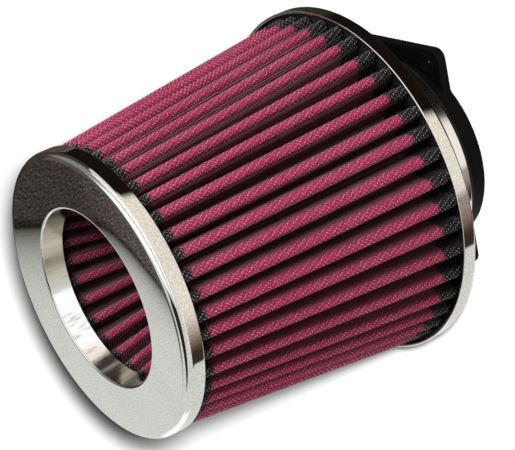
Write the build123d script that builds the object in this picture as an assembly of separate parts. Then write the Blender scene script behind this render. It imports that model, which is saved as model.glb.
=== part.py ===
from build123d import *
import os
from math import acos, atan2, cos, pi, radians, sin

# Cone air filter with an open front mouth, clamped to a flange adapter for an air-flow meter.
# Z runs along the filter's axis: the adapter's mounting face lies at Z = 0, the front cap is on top.
# X runs along the long side of the adapter's plate. All sizes are in millimetres.

# Front cap: one pressed and chromed sheet, with a rounded rim and a tapered collar round the mouth
FRONT_CAP_DIAMETER = 121.0
FRONT_SKIRT_DEPTH = 8.4
FRONT_RIM_RADIUS = 2.6
FRONT_RING_WIDTH = 24.6  # from the skirt's outside to the mouth at the collar's inner end
COLLAR_DEPTH = 9.6
COLLAR_TAPER = 1.5  # how much wider the collar is at the lip, on the radius
LIP_BEVEL = 0.7
CAP_SHEET = 1.2  # sheet thickness of both caps
RIM_STEPS = 2  # conical steps in which the rim is rolled over

# Rear cap: a shallow chromed pan round the moulded base
REAR_CAP_DIAMETER = 150.0
REAR_SKIRT_DEPTH = 6.3
REAR_LIP_WIDTH = 9.0

# Pleated media: cotton between two wire screens, folded as one sheet
FILTER_LENGTH = 131.2  # from the rear cap's back to the front cap's face
MEDIA_SHEET = 1.1
OUTER_PLEAT_COUNT = 44
OUTER_PLEAT_START = 2.6  # where the first pleat lies, in degrees from +X
OUTER_PLEAT_DEPTH = 11.0
FRONT_TIP_GAP = 0.5  # from the pleat tips to the front cap's skirt
REAR_TIP_GAP = 1.4  # from the pleat tips to the rear cap's skirt
INNER_PLEAT_COUNT = 27
INNER_PLEAT_START = 7.3  # where the first pleat lies, in degrees from +X
INNER_CONE_LENGTH = 66.0
INNER_END_DIAMETER = 38.0  # between the pleat tips at the closed end
COLLAR_GAP = 0.35  # from the collar's inner end to the inner pleat tips
PLEAT_PACK_GAP = 0.7  # between the outer and the inner pleats under the front cap
OUTER_FOLD_SHARE = 0.43  # how much of the room left by the sheet in half a pitch the fold takes
INNER_FOLD_SHARE = 0.28
FOLD_FACETS = 5  # flat strips in which the sheet turns round a fold
VALLEY_WIDTH = 0.8  # floor of the valleys at the pack's tighter end

# Cast polyurethane: potting in the front cap, closing disc of the inner cone, base with its neck
FRONT_POTTING_DEPTH = 4.9
TIP_CAP_THICKNESS = 5.0
TIP_CAP_OVERHANG = 1.0
BASE_THICKNESS = 2.9  # above the rear cap's lip
NECK_WALL = 6.4
NECK_LENGTH = 24.8

# Worm-drive clamp round the neck
CLAMP_WIDTH = 12.0
CLAMP_BAND = 0.9
CLAMP_INSET = 2.4  # from the neck's open end
CLAMP_TURN = 90.0  # where the housing sits, in degrees from +X
CLAMP_TAIL = 46.0  # arc of the band's free tail, in degrees
TAIL_LEAD = 10.0  # arc of the tail on the near side of the housing
TAIL_SLOTS = 7
TAIL_SLOT_PITCH = 4.6  # in degrees
TAIL_SLOT_LENGTH = 7.0
TAIL_SLOT_WIDTH = 1.6
HOUSING_LENGTH = 15.0
HOUSING_SIDE = 0.8  # how far each side of the housing reaches past the band
HOUSING_WALL = 1.2
SCREW_DIAMETER = 8.0
SCREW_FLANGE_DIAMETER = 9.0
SCREW_FLANGE = 1.2
SCREW_HEAD_FLATS = 7.0
SCREW_HEAD = 4.5
SCREW_SLOT = 1.2
SCREW_TIP = 1.5  # how far the screw reaches past the housing

# Flange adapter: a moulded tube and plate with four bolt holes
OUTLET_DIAMETER = 75.0
SPIGOT_WALL = 3.75
SPIGOT_REACH = 21.5  # how deep the spigot goes into the neck
NECK_STANDOFF = 7.5  # bare spigot between the plate and the neck
PLATE_THICKNESS = 4.3
PLATE_WIDTH = 56.6
PLATE_CORNER = 4.5
EAR_REACH = 7.35  # how far the plate's ends reach past the spigot
HUB_BLEND = 3.0
BOLT_END_MARGIN = 6.1
BOLT_SPACING_ACROSS = 40.0
BOLT_HOLE_DIAMETER = 6.6

# Fits
FIT = 0.1  # round pieces that hold each other
SCREW_PLAY = 0.2

# Levels along the axis
NECK_END_Z = PLATE_THICKNESS + NECK_STANDOFF
SPIGOT_END_Z = NECK_END_Z + SPIGOT_REACH
REAR_Z = NECK_END_Z + NECK_LENGTH
FRONT_Z = REAR_Z + FILTER_LENGTH
BASE_Z = REAR_Z + CAP_SHEET
PLEAT_REAR_Z = BASE_Z + BASE_THICKNESS
PLEAT_FRONT_Z = FRONT_Z - CAP_SHEET - FRONT_POTTING_DEPTH
COLLAR_END_Z = FRONT_Z - COLLAR_DEPTH
INNER_END_Z = PLEAT_FRONT_Z - INNER_CONE_LENGTH
CLAMP_Z = NECK_END_Z + CLAMP_INSET

# Radii shared by neighbouring pieces
SPIGOT_R = OUTLET_DIAMETER / 2 + SPIGOT_WALL
NECK_BORE_R = SPIGOT_R + FIT
NECK_R = NECK_BORE_R + NECK_WALL
BAND_R = NECK_R + FIT + CLAMP_BAND
TAIL_R = BAND_R + CLAMP_BAND
FRONT_PAN_R = FRONT_CAP_DIAMETER / 2 - CAP_SHEET
MOUTH_R = FRONT_CAP_DIAMETER / 2 - FRONT_RING_WIDTH
REAR_PAN_R = REAR_CAP_DIAMETER / 2 - CAP_SHEET
REAR_LIP_R = REAR_CAP_DIAMETER / 2 - REAR_LIP_WIDTH


def collar_radius(z):
    """Outside radius of the front cap's tapered collar at one height."""
    return MOUTH_R + CAP_SHEET + COLLAR_TAPER * (z - COLLAR_END_Z) / COLLAR_DEPTH


def inner_tip_radius(z):
    """Radius of the inner cone's pleat tips: a straight line from the collar to the closed end."""
    start = collar_radius(COLLAR_END_Z) + COLLAR_GAP
    slope = (start - INNER_END_DIAMETER / 2) / (COLLAR_END_Z - INNER_END_Z)
    return start + slope * (z - COLLAR_END_Z)


def turned(corners):
    """Ring turned about Z from a closed section of (radius, height) corners."""
    return revolve(Plane.XZ * make_face(Polyline(*corners, close=True)), Axis.Z)


def ring(inner_radius, outer_radius, z, height):
    """Plain ring of rectangular section that stands on one height."""
    return Pos(0, 0, z) * extrude(Circle(outer_radius) - Circle(inner_radius), height)


def rolled_rim(radius, z, roll):
    """Corners of an outer rim that is rolled over in short cones, from the skirt to the flat face."""
    turns = [radians(90 * step / RIM_STEPS) for step in range(RIM_STEPS + 1)]
    return [(radius - roll * (1 - cos(turn)), z - roll * (1 - sin(turn))) for turn in turns]


def front_cap():
    """Skirt, flat face and tapered collar, pressed from one sheet."""
    rim_r = FRONT_CAP_DIAMETER / 2
    lip_r = collar_radius(FRONT_Z) - CAP_SHEET
    bevel_z = FRONT_Z - LIP_BEVEL
    under_z = FRONT_Z - CAP_SHEET
    skirt_z = FRONT_Z - FRONT_SKIRT_DEPTH
    corners = [
        (rim_r, skirt_z),
        *rolled_rim(rim_r, FRONT_Z, FRONT_RIM_RADIUS),
        (lip_r + LIP_BEVEL, FRONT_Z),
        (collar_radius(bevel_z) - CAP_SHEET, bevel_z),
        (MOUTH_R, COLLAR_END_Z),
        (collar_radius(COLLAR_END_Z), COLLAR_END_Z),
        (collar_radius(under_z), under_z),
        (FRONT_PAN_R, under_z),
        (FRONT_PAN_R, skirt_z),
    ]
    return turned(corners)


def front_potting():
    """Ring cast inside the front cap, which seals the front ends of both pleat packs."""
    top_z = FRONT_Z - CAP_SHEET
    corners = [
        (collar_radius(PLEAT_FRONT_Z) + FIT, PLEAT_FRONT_Z),
        (FRONT_PAN_R - FIT, PLEAT_FRONT_Z),
        (FRONT_PAN_R - FIT, top_z),
        (collar_radius(top_z) + FIT, top_z),
    ]
    return turned(corners)


def fold_radius(count, tip_radius, facing):
    """Outside radius of a pleat's round fold: the sheet itself and a share of the room beside it."""
    share = OUTER_FOLD_SHARE if facing > 0 else INNER_FOLD_SHARE
    return MEDIA_SHEET + share * (pi * tip_radius / count - MEDIA_SHEET)


def fold_centre(count, tip_radius, facing):
    """Centre of the round fold of the pleat that lies along +X."""
    return Vector(tip_radius - facing * fold_radius(count, tip_radius, facing), 0)


def flank_turn(count, tip_radius, depth, facing):
    """Angle round the fold, in radians, at which the straight flank leaves it for the valley's floor."""
    half_pitch = 180 / count
    floor = tip_radius - facing * (depth - MEDIA_SHEET)
    valley = Vector(floor, -VALLEY_WIDTH / 2).rotate(Axis.Z, half_pitch)
    to_valley = valley - fold_centre(count, tip_radius, facing)
    tangent = acos(fold_radius(count, tip_radius, facing) / to_valley.length)
    return atan2(to_valley.Y, to_valley.X) - facing * tangent


def pleat_loops(count, tip_radius, depth, facing, turn, z):
    """Corners of both faces of a pleated sheet where a plane crosses the axis, as two closed loops.

    The round folds have their tips at tip_radius, and point outwards where facing is 1 and inwards
    where it is -1. Their flanks leave them at the angle turn. The first loop is the face with the
    round folds, and the second lies one sheet behind it, with flat folds.
    """
    pitch = 360 / count
    outwards = Vector(1, 0).rotate(Axis.Z, pitch / 2)
    floor = tip_radius - facing * (depth - MEDIA_SHEET)
    centre = fold_centre(count, tip_radius, facing)
    start = -turn if facing > 0 else 2 * pi - turn
    angles = [start + (turn - start) * strip / FOLD_FACETS for strip in range(FOLD_FACETS + 1)]
    fold_r = fold_radius(count, tip_radius, facing)
    fold = [centre + Vector(cos(angle), sin(angle)) * fold_r for angle in angles]
    flank = Vector(-sin(turn), cos(turn)) * facing
    behind = fold[-1] - Vector(cos(turn), sin(turn)) * MEDIA_SHEET
    crest = behind + flank * ((tip_radius - facing * MEDIA_SHEET - behind.X) / flank.X)

    def down_to(radius, point):
        return point + flank * ((radius - point.dot(outwards)) / flank.dot(outwards))

    def flipped(point):
        return Vector(point.X, -point.Y)

    valley = down_to(floor, fold[-1])
    root = down_to(floor - facing * MEDIA_SHEET, behind)
    faces = (
        [flipped(valley), *fold, valley],
        [flipped(root), flipped(crest), crest, root],
    )
    return [
        [point.rotate(Axis.Z, number * pitch) + Vector(0, 0, z) for number in range(count) for point in face]
        for face in faces
    ]


def pleated_cone(count, depth, facing, tight_end, wide_end):
    """Pleated sheet ruled between two sections, each given as (tip radius, height).

    The flanks leave the folds at the same angle along the whole pleat, so every strip is flat. The
    angle is the one that leaves the valleys their floor at the tight end, where room is shortest.
    """
    turn = flank_turn(count, tight_end[0], depth, facing)
    sections = [pleat_loops(count, radius, depth, facing, turn, z) for radius, z in (tight_end, wide_end)]
    skin = []
    for tight_loop, wide_loop in zip(*sections):
        for corner in range(len(tight_loop)):
            strip = [tight_loop[corner - 1], tight_loop[corner], wide_loop[corner], wide_loop[corner - 1]]
            skin.append(Face(Wire.make_polygon(strip)))
    for loops in sections:
        outline, hole = loops[::facing]
        skin.append(Face(Wire.make_polygon(outline), [Wire.make_polygon(hole)]))
    return Solid(Shell(skin))


def outer_pleats():
    """Outer pleat pack: tips outwards, widening from the front cap to the rear cap."""
    front = (FRONT_PAN_R - FRONT_TIP_GAP, PLEAT_FRONT_Z)
    rear = (REAR_PAN_R - REAR_TIP_GAP, PLEAT_REAR_Z)
    return Rot(0, 0, OUTER_PLEAT_START) * pleated_cone(OUTER_PLEAT_COUNT, OUTER_PLEAT_DEPTH, 1, front, rear)


def inner_pleat_depth():
    """Depth of the inner pleats, which fill the room between the mouth and the outer pleats."""
    outer_back_r = FRONT_PAN_R - FRONT_TIP_GAP - OUTER_PLEAT_DEPTH
    return outer_back_r - PLEAT_PACK_GAP - inner_tip_radius(PLEAT_FRONT_Z)


def inner_pleats():
    """Inner pleat pack: tips towards the axis, narrowing from the mouth to the closed end."""
    closed_end = (inner_tip_radius(INNER_END_Z), INNER_END_Z)
    mouth = (inner_tip_radius(PLEAT_FRONT_Z), PLEAT_FRONT_Z)
    pleats = pleated_cone(INNER_PLEAT_COUNT, inner_pleat_depth(), -1, closed_end, mouth)
    return Rot(0, 0, INNER_PLEAT_START) * pleats


def inner_tip_cap():
    """Disc that closes the narrow end of the inner cone."""
    radius = INNER_END_DIAMETER / 2 + inner_pleat_depth() + TIP_CAP_OVERHANG
    return Pos(0, 0, INNER_END_Z - TIP_CAP_THICKNESS) * extrude(Circle(radius), TIP_CAP_THICKNESS)


def rear_cap():
    """Shallow pan with a lip turned in behind the base."""
    rim_r = REAR_CAP_DIAMETER / 2
    skirt_z = REAR_Z + REAR_SKIRT_DEPTH
    corners = [
        (rim_r, skirt_z),
        (rim_r, REAR_Z),
        (REAR_LIP_R, REAR_Z),
        (REAR_LIP_R, BASE_Z),
        (REAR_PAN_R, BASE_Z),
        (REAR_PAN_R, skirt_z),
    ]
    return turned(corners)


def base_neck():
    """Base cast in the rear cap, with the neck that takes the adapter's spigot."""
    corners = [
        (NECK_BORE_R, NECK_END_Z),
        (NECK_R, NECK_END_Z),
        (NECK_R, BASE_Z),
        (REAR_PAN_R - FIT, BASE_Z),
        (REAR_PAN_R - FIT, PLEAT_REAR_Z),
        (NECK_BORE_R, PLEAT_REAR_Z),
    ]
    return turned(corners)


def clamp_band():
    """Steel band round the neck, with a slotted tail that passes under the worm screw."""
    band = ring(NECK_R + FIT, BAND_R, CLAMP_Z, CLAMP_WIDTH)
    sector = make_face(
        [
            Line((0, 0), (2 * TAIL_R, 0)),
            CenterArc((0, 0), 2 * TAIL_R, 0, CLAMP_TAIL),
            Line((0, 0), Vector(2 * TAIL_R, 0).rotate(Axis.Z, CLAMP_TAIL)),
        ]
    )
    tail_plan = (Circle(TAIL_R) - Circle(BAND_R)) & sector
    tail = Pos(0, 0, CLAMP_Z) * extrude(tail_plan, CLAMP_WIDTH)
    slot = Box(2 * CLAMP_BAND, TAIL_SLOT_WIDTH, TAIL_SLOT_LENGTH)
    for number in range(TAIL_SLOTS):
        turn = CLAMP_TAIL - (number + 1) * TAIL_SLOT_PITCH
        tail -= Rot(0, 0, turn) * Pos(BAND_R + CLAMP_BAND, 0, CLAMP_Z + CLAMP_WIDTH / 2) * slot
    return band + Rot(0, 0, CLAMP_TURN - TAIL_LEAD) * tail


def screw_place():
    """Place of the worm screw's middle, with its length along the local Z axis."""
    screw_r = TAIL_R + FIT + SCREW_FLANGE_DIAMETER / 2
    return Rot(0, 0, CLAMP_TURN) * Pos(screw_r, 0, CLAMP_Z + CLAMP_WIDTH / 2) * Rot(-90, 0, 0)


def clamp_housing():
    """Folded housing that holds the worm screw on the band, saddled to the band's curve."""
    bore_r = SCREW_DIAMETER / 2 + SCREW_PLAY
    foot_width = CLAMP_WIDTH + 2 * HOUSING_SIDE
    foot_height = SCREW_FLANGE_DIAMETER / 2 + HOUSING_WALL
    foot = Pos(-foot_height / 2, 0) * Rectangle(foot_height, foot_width)
    section = foot + Circle(bore_r + HOUSING_WALL) - Circle(bore_r)
    body = screw_place() * Pos(0, 0, -HOUSING_LENGTH / 2) * extrude(section, HOUSING_LENGTH)
    return body - Cylinder(TAIL_R + FIT, FRONT_Z)


def clamp_screw():
    """Worm screw with a flange, a hexagon head and a driver slot."""
    seat = HOUSING_LENGTH / 2
    shank_length = HOUSING_LENGTH + SCREW_TIP
    shank = Pos(0, 0, seat - shank_length) * extrude(Circle(SCREW_DIAMETER / 2), shank_length)
    flange = Pos(0, 0, seat) * extrude(Circle(SCREW_FLANGE_DIAMETER / 2), SCREW_FLANGE)
    head_plan = RegularPolygon(SCREW_HEAD_FLATS / 2, 6, major_radius=False)
    head = Pos(0, 0, seat + SCREW_FLANGE) * extrude(head_plan, SCREW_HEAD)
    slot = Pos(0, 0, seat + SCREW_FLANGE + SCREW_HEAD) * Box(2 * SCREW_HEAD_FLATS, SCREW_SLOT, SCREW_HEAD)
    return screw_place() * (shank + flange + head - slot)


def bolt_places():
    """Centres of the four bolt holes, near the plate's ends."""
    along = 2 * (SPIGOT_R + EAR_REACH - BOLT_END_MARGIN)
    return GridLocations(along, BOLT_SPACING_ACROSS, 2, 2)


def adapter():
    """Moulded flange plate and spigot in one piece, with the air outlet through both."""
    plan = RectangleRounded(2 * (SPIGOT_R + EAR_REACH), PLATE_WIDTH, PLATE_CORNER) + Circle(SPIGOT_R)
    hub_corners = plan.vertices().sort_by_distance((0, 0, 0))[:4]
    plan = fillet(hub_corners, HUB_BLEND)
    plate = extrude(plan, PLATE_THICKNESS)
    spigot = extrude(Circle(SPIGOT_R), SPIGOT_END_Z)
    outlet = extrude(Circle(OUTLET_DIAMETER / 2), SPIGOT_END_Z)
    hole = extrude(Circle(BOLT_HOLE_DIAMETER / 2), PLATE_THICKNESS)
    return plate + spigot - outlet - bolt_places() * hole


PIECES = (
    front_cap,
    front_potting,
    outer_pleats,
    inner_pleats,
    inner_tip_cap,
    rear_cap,
    base_neck,
    clamp_band,
    clamp_housing,
    clamp_screw,
    adapter,
)

os.makedirs("parts", exist_ok=True)
for piece in PIECES:
    made = piece()
    solids = made if isinstance(made, list) else made.solids()
    shape = solids[0] if len(solids) == 1 else Compound(children=list(solids))
    export_step(shape, f"parts/{piece.__name__}.step")
    print(piece.__name__, len(solids), round(shape.volume, 1))
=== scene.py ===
"""Cone air filter: the looks of its pleats, wire screens, chromed caps, clamp and flange adapter.

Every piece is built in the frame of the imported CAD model. Sizes are in millimetres and become metres when a
mesh is made. Z runs along the filter's axis from the adapter's mounting face to the open mouth.
"""

from __future__ import annotations

import logging
import math
from dataclasses import dataclass, field
from enum import Enum
from typing import Mapping, Sequence, Union

import bmesh
import bpy
import numpy as np
from mathutils import Matrix

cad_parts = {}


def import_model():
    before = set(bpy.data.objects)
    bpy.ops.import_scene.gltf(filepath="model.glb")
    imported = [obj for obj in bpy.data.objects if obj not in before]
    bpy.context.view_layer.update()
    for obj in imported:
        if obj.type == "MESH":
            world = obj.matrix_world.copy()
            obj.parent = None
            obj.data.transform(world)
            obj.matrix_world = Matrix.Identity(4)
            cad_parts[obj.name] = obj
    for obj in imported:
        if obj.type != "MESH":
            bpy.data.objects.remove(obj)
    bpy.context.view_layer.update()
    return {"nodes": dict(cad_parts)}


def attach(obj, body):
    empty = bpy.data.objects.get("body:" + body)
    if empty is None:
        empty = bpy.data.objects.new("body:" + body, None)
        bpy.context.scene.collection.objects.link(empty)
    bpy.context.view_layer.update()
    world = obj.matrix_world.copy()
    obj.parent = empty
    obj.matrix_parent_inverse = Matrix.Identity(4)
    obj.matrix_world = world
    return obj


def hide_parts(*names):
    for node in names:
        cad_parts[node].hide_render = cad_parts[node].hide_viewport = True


Colour = tuple[float, float, float]
Pair = tuple[float, float]

LOG = logging.getLogger("cone_filter")
MM = 0.001
DEGREES = 180 / math.pi
BODY = "root"
SEED = 20
WIRE_SIDES = 3
# Vertices that lie this close are merged, and edges this short are dissolved, in millimetres
WELD_REACH = 0.002
SLIVER_REACH = 0.0002
# A point beside each rounding keeps the straight stretch flat: its distance in millimetres, and its share of
# the stretch, at most
FLAT_MARGIN = 0.25
FLAT_SHARE = 0.2
# How far the outer pleats lean: (angle, shift at the front, shift at the rear), in degrees
OUTER_LEAN = (
    (-165.0, 0.0, 0.0),
    (-126.0, -1.2, -1.7),
    (-104.0, 0.9, 1.8),
    (-80.0, -0.7, 2.1),
    (-58.0, -0.7, 0.5),
    (-42.0, -0.6, -0.5),
    (-28.0, -1.3, 0.8),
    (-8.0, -2.6, 0.4),
    (10.0, -2.6, 1.0),
    (45.0, 0.0, 0.0),
)


class Slot(Enum):
    """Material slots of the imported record."""

    CAP_CHROME = "cap_chrome"
    COTTON = "cotton"
    POLYURETHANE = "polyurethane"
    CLAMP_STEEL = "clamp_steel"
    ADAPTER_PLASTIC = "adapter_plastic"


class Facing(Enum):
    """Which way the round folds of a pleat pack point."""

    OUTWARDS = 1
    INWARDS = -1


class CollarReflection(Enum):
    """Tints of the reflections painted onto the mouth's collar."""

    DARK = (0.06, 0.05, 0.045)
    OLIVE = (0.33, 0.31, 0.23)
    TAN = (0.66, 0.60, 0.51)
    CLEAR = (0.80, 0.79, 0.80)


# Where the painted reflections on the collar lie: (angle round the axis in degrees, tint)
COLLAR_REFLECTIONS = (
    (39.0, CollarReflection.DARK),
    (50.0, CollarReflection.OLIVE),
    (68.0, CollarReflection.TAN),
    (82.0, CollarReflection.OLIVE),
    (90.0, CollarReflection.TAN),
    (102.0, CollarReflection.CLEAR),
    (136.0, CollarReflection.CLEAR),
    (148.0, CollarReflection.TAN),
    (156.0, CollarReflection.DARK),
    (160.0, CollarReflection.DARK),
    (169.0, CollarReflection.TAN),
    (180.0, CollarReflection.OLIVE),
    (191.0, CollarReflection.DARK),
    (208.0, CollarReflection.TAN),
    (350.0, CollarReflection.TAN),
)


# Shader maths


Operand = Union["Value", float]
Input = Union["Value", float, Sequence[float]]


@dataclass(frozen=True)
class Value:
    """A number socket of a node tree, with the operators that add Math nodes."""

    sheet: "NodeSheet"
    socket: bpy.types.NodeSocket

    def _math(self, operation: str, first: Operand, second: Operand) -> "Value":
        """Adds one Math node.

        Args:
            operation: The Math node's operation.
            first: First operand.
            second: Second operand.

        Returns:
            The node's result.
        """
        return self.sheet.node("ShaderNodeMath", {"operation": operation}, {0: first, 1: second})

    def __add__(self, other: Operand) -> "Value":
        """Sum."""
        return self._math("ADD", self, other)

    def __radd__(self, other: Operand) -> "Value":
        """Sum with a number on the left."""
        return self._math("ADD", other, self)

    def __sub__(self, other: Operand) -> "Value":
        """Difference."""
        return self._math("SUBTRACT", self, other)

    def __rsub__(self, other: Operand) -> "Value":
        """Difference from a number."""
        return self._math("SUBTRACT", other, self)

    def __mul__(self, other: Operand) -> "Value":
        """Product."""
        return self._math("MULTIPLY", self, other)

    def __rmul__(self, other: Operand) -> "Value":
        """Product with a number on the left."""
        return self._math("MULTIPLY", other, self)

    def __truediv__(self, other: Operand) -> "Value":
        """Quotient."""
        return self._math("DIVIDE", self, other)

    def __pow__(self, other: Operand) -> "Value":
        """Power."""
        return self._math("POWER", self, other)

    def least(self, other: Operand) -> "Value":
        """Smaller of two values."""
        return self._math("MINIMUM", self, other)

    def most(self, other: Operand) -> "Value":
        """Larger of two values."""
        return self._math("MAXIMUM", self, other)

    def apply(self, operation: str) -> "Value":
        """Math operation on this value alone, such as SINE or FRACT."""
        return self._math(operation, self, 0.0)

    def step(self, low: float, high: float) -> "Value":
        """Smooth step that rises from 0 at low to 1 at high, or falls where high is below low."""
        settings = {"interpolation_type": "SMOOTHSTEP"}
        ends = {1: low, 2: high, 3: 0.0, 4: 1.0} if low <= high else {1: high, 2: low, 3: 1.0, 4: 0.0}
        return self.sheet.node("ShaderNodeMapRange", settings, {"Value": self, **ends})


class NodeSheet:
    """A node tree that is being filled."""

    def __init__(self, tree: bpy.types.NodeTree) -> None:
        """Empties the tree.

        Args:
            tree: Node tree of a material or of the world.
        """
        self.tree = tree
        tree.nodes.clear()

    def node(
        self,
        kind: str,
        settings: Mapping[str, object] | None = None,
        inputs: Mapping[Union[str, int], Input] | None = None,
        output: Union[str, int] = 0,
    ) -> Value:
        """Adds one node.

        Args:
            kind: The node's type.
            settings: Its properties; "stops" holds the (place, colour) pairs of a ramp.
            inputs: Value or link of each socket, by name or number.
            output: Which output is handed back.

        Returns:
            The chosen output.
        """
        made = self.tree.nodes.new(kind)
        for key, setting in (settings or {}).items():
            if key == "stops":
                self._set_stops(made.color_ramp, setting)
            else:
                setattr(made, key, setting)
        for key, entry in (inputs or {}).items():
            socket = made.inputs[key]
            if isinstance(entry, Value):
                self.tree.links.new(entry.socket, socket)
            else:
                socket.default_value = entry
        return Value(self, made.outputs[output] if made.outputs else None)

    @staticmethod
    def _set_stops(ramp: bpy.types.ColorRamp, stops: Sequence[tuple[float, Sequence[float]]]) -> None:
        """Gives a colour ramp its stops, from left to right."""
        while len(ramp.elements) < len(stops):
            ramp.elements.new(0.5)
        for element, (place, colour) in zip(ramp.elements, stops):
            element.position = place
            element.color = (*colour, 1.0)

    def mix(self, factor: Input, first: Input, second: Input) -> Value:
        """Mixes two colours.

        Args:
            factor: Share of the second colour.
            first: First colour or link.
            second: Second colour or link.

        Returns:
            The mixed colour.
        """
        colours = {6: rgba(first), 7: rgba(second), 0: factor}
        return self.node("ShaderNodeMix", {"data_type": "RGBA"}, colours, output=2)

    def axis(self, vector: Value, number: int) -> Value:
        """One coordinate of a vector, where 0, 1 and 2 stand for X, Y and Z."""
        return self.node("ShaderNodeSeparateXYZ", {}, {0: vector}, output=number)

    def vector(self, operation: str, *entries: Input, output: str = "Vector") -> Value:
        """Vector Math node with its entries in order; lengths and products are its output Value."""
        return self.node("ShaderNodeVectorMath", {"operation": operation}, dict(enumerate(entries)), output)

    def scaled(self, colour: Input, factor: Value) -> Value:
        """Colour times a number."""
        return self.node("ShaderNodeVectorMath", {"operation": "SCALE"}, {0: colour, "Scale": factor})

    def azimuth(self, vector: Value) -> Value:
        """Angle of a vector round Z from +X, in degrees from -180 to 180."""
        sides = {0: self.axis(vector, 1), 1: self.axis(vector, 0)}
        return self.node("ShaderNodeMath", {"operation": "ARCTAN2"}, sides) * DEGREES

    def attribute(self, name: str) -> Value:
        """Number that the mesh holds at each vertex."""
        return self.node("ShaderNodeAttribute", {"attribute_name": name}, output="Fac")

    def noise(self, vector: Value, scale: float, detail: float = 2.0, roughness: float = 0.5) -> Value:
        """Smooth noise from 0 to 1 at a scale in cells per metre or per unit of the vector."""
        inputs = {"Vector": vector, "Scale": scale, "Detail": detail, "Roughness": roughness}
        return self.node("ShaderNodeTexNoise", {}, inputs)

    def bump(self, height: Value, strength: float, distance: float, normal: Value | None = None) -> Value:
        """Normal, or another given one, bent by a height field; distance is in metres."""
        inputs = {"Strength": strength, "Distance": distance, "Height": height}
        if normal is not None:
            inputs["Normal"] = normal
        return self.node("ShaderNodeBump", {}, inputs, output="Normal")


def rgba(colour: Input) -> Input:
    """Adds full alpha to a plain colour of three numbers, and passes links on."""
    return colour if isinstance(colour, Value) else (*colour, 1.0)


# Finishes


@dataclass(frozen=True)
class Finish:
    """What every finish shares: a name and the way its material is put together."""

    name: str

    def material(self) -> bpy.types.Material:
        """Makes the material.

        Returns:
            A material whose Principled shader is driven by this finish's own nodes.
        """
        made = bpy.data.materials.new(self.name)
        made.use_nodes = True
        sheet = NodeSheet(made.node_tree)
        shader = sheet.node("ShaderNodeBsdfPrincipled", {}, self.inputs(sheet))
        sheet.node("ShaderNodeOutputMaterial", {}, {"Surface": shader})
        return made

    def inputs(self, sheet: NodeSheet) -> dict[str, Input]:
        """Inputs of the Principled shader; each finish gives its own."""
        raise NotImplementedError

    @staticmethod
    def place(sheet: NodeSheet) -> Value:
        """Object coordinates, in metres."""
        return sheet.node("ShaderNodeTexCoord", output="Object")


@dataclass(frozen=True)
class Chrome(Finish):
    """Plated sheet: a clear mirror with a fine grain, drawn dull where it was pressed into the collar.

    The scales of this and the other finishes are in cells per metre, and their bump heights in metres.
    """

    tint: Colour = (0.86, 0.87, 0.84)
    haze_tint: Colour = (0.66, 0.67, 0.64)
    haze_scale: float = 60.0
    haze_range: Pair = (0.35, 0.75)
    haze_share: float = 0.2
    grain_scale: float = 1400.0
    grain_range: Pair = (0.36, 0.64)
    grain_share: float = 0.8
    grain_bump: float = 0.003
    grain_height: float = 0.00004
    roughness: float = 0.008
    grain_roughness: float = 0.006
    collar_radius: float = 37.38
    collar_edge: float = 0.1
    collar_roughness: float = 0.12
    collar_flare: float = 0.29
    # The collar's painted reflections: noise streaks shake their angle and lay dark painted streaks over them
    streaks_per_degree: float = 0.22
    streaks_per_height: float = 0.07
    streak_shake: float = 16.0
    streak_range: Pair = (0.52, 0.72)
    streak_share: float = 0.45

    def painted_reflection(self, sheet: NodeSheet, place: Value, height: Value) -> Value:
        """Painted reflection on the collar: tints that change round the axis and are drawn out along it.

        Args:
            sheet: The material's node tree.
            place: Object coordinates.
            height: Height in millimetres.

        Returns:
            The colour at each angle, with the angle shaken by noise that is long in height.
        """
        angle = sheet.azimuth(place)
        sides = {0: angle * self.streaks_per_degree, 1: height * self.streaks_per_height}
        drawn = sheet.node("ShaderNodeCombineXYZ", {}, sides)
        streak = sheet.noise(drawn, 1.0, detail=4.0, roughness=0.6)
        turn = ((angle + (streak - 0.5) * self.streak_shake + 360.0) / 360.0).apply("FRACT")
        stops = [(degrees / 360, reflected.value) for degrees, reflected in COLLAR_REFLECTIONS]
        tint = sheet.node("ShaderNodeValToRGB", {"stops": stops}, {0: turn})
        return sheet.mix(streak.step(*self.streak_range) * self.streak_share, tint, CollarReflection.DARK.value)

    def inputs(self, sheet: NodeSheet) -> dict[str, Input]:
        """Mirror whose tint, roughness and normal wander, with painted reflections on its flared collar."""
        place = self.place(sheet)
        flat = sheet.vector("MULTIPLY", place, (1.0, 1.0, 0.0))
        radius = sheet.vector("LENGTH", flat, output="Value") / MM
        height = sheet.axis(place, 2) / MM
        collar = radius.step(self.collar_radius + self.collar_edge, self.collar_radius - self.collar_edge)
        haze = sheet.noise(place, self.haze_scale, detail=3.0)
        grain = sheet.noise(place, self.grain_scale, detail=3.0)
        hazy = haze.step(*self.haze_range) * self.haze_share
        grainy = grain.step(*self.grain_range) * self.grain_share
        mirror = sheet.mix(hazy + grainy, self.tint, self.haze_tint)
        facing = sheet.node("ShaderNodeNewGeometry", output="Normal")
        lift = sheet.node("ShaderNodeCombineXYZ", {}, {2: collar * self.collar_flare})
        flared = sheet.vector("NORMALIZE", sheet.vector("ADD", facing, lift))
        return {
            "Base Color": sheet.mix(collar, mirror, self.painted_reflection(sheet, place, height)),
            "Metallic": 1.0,
            "Roughness": self.roughness + self.grain_roughness * grain + collar * self.collar_roughness,
            "Normal": sheet.bump(grain, self.grain_bump, self.grain_height, flared),
        }


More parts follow.
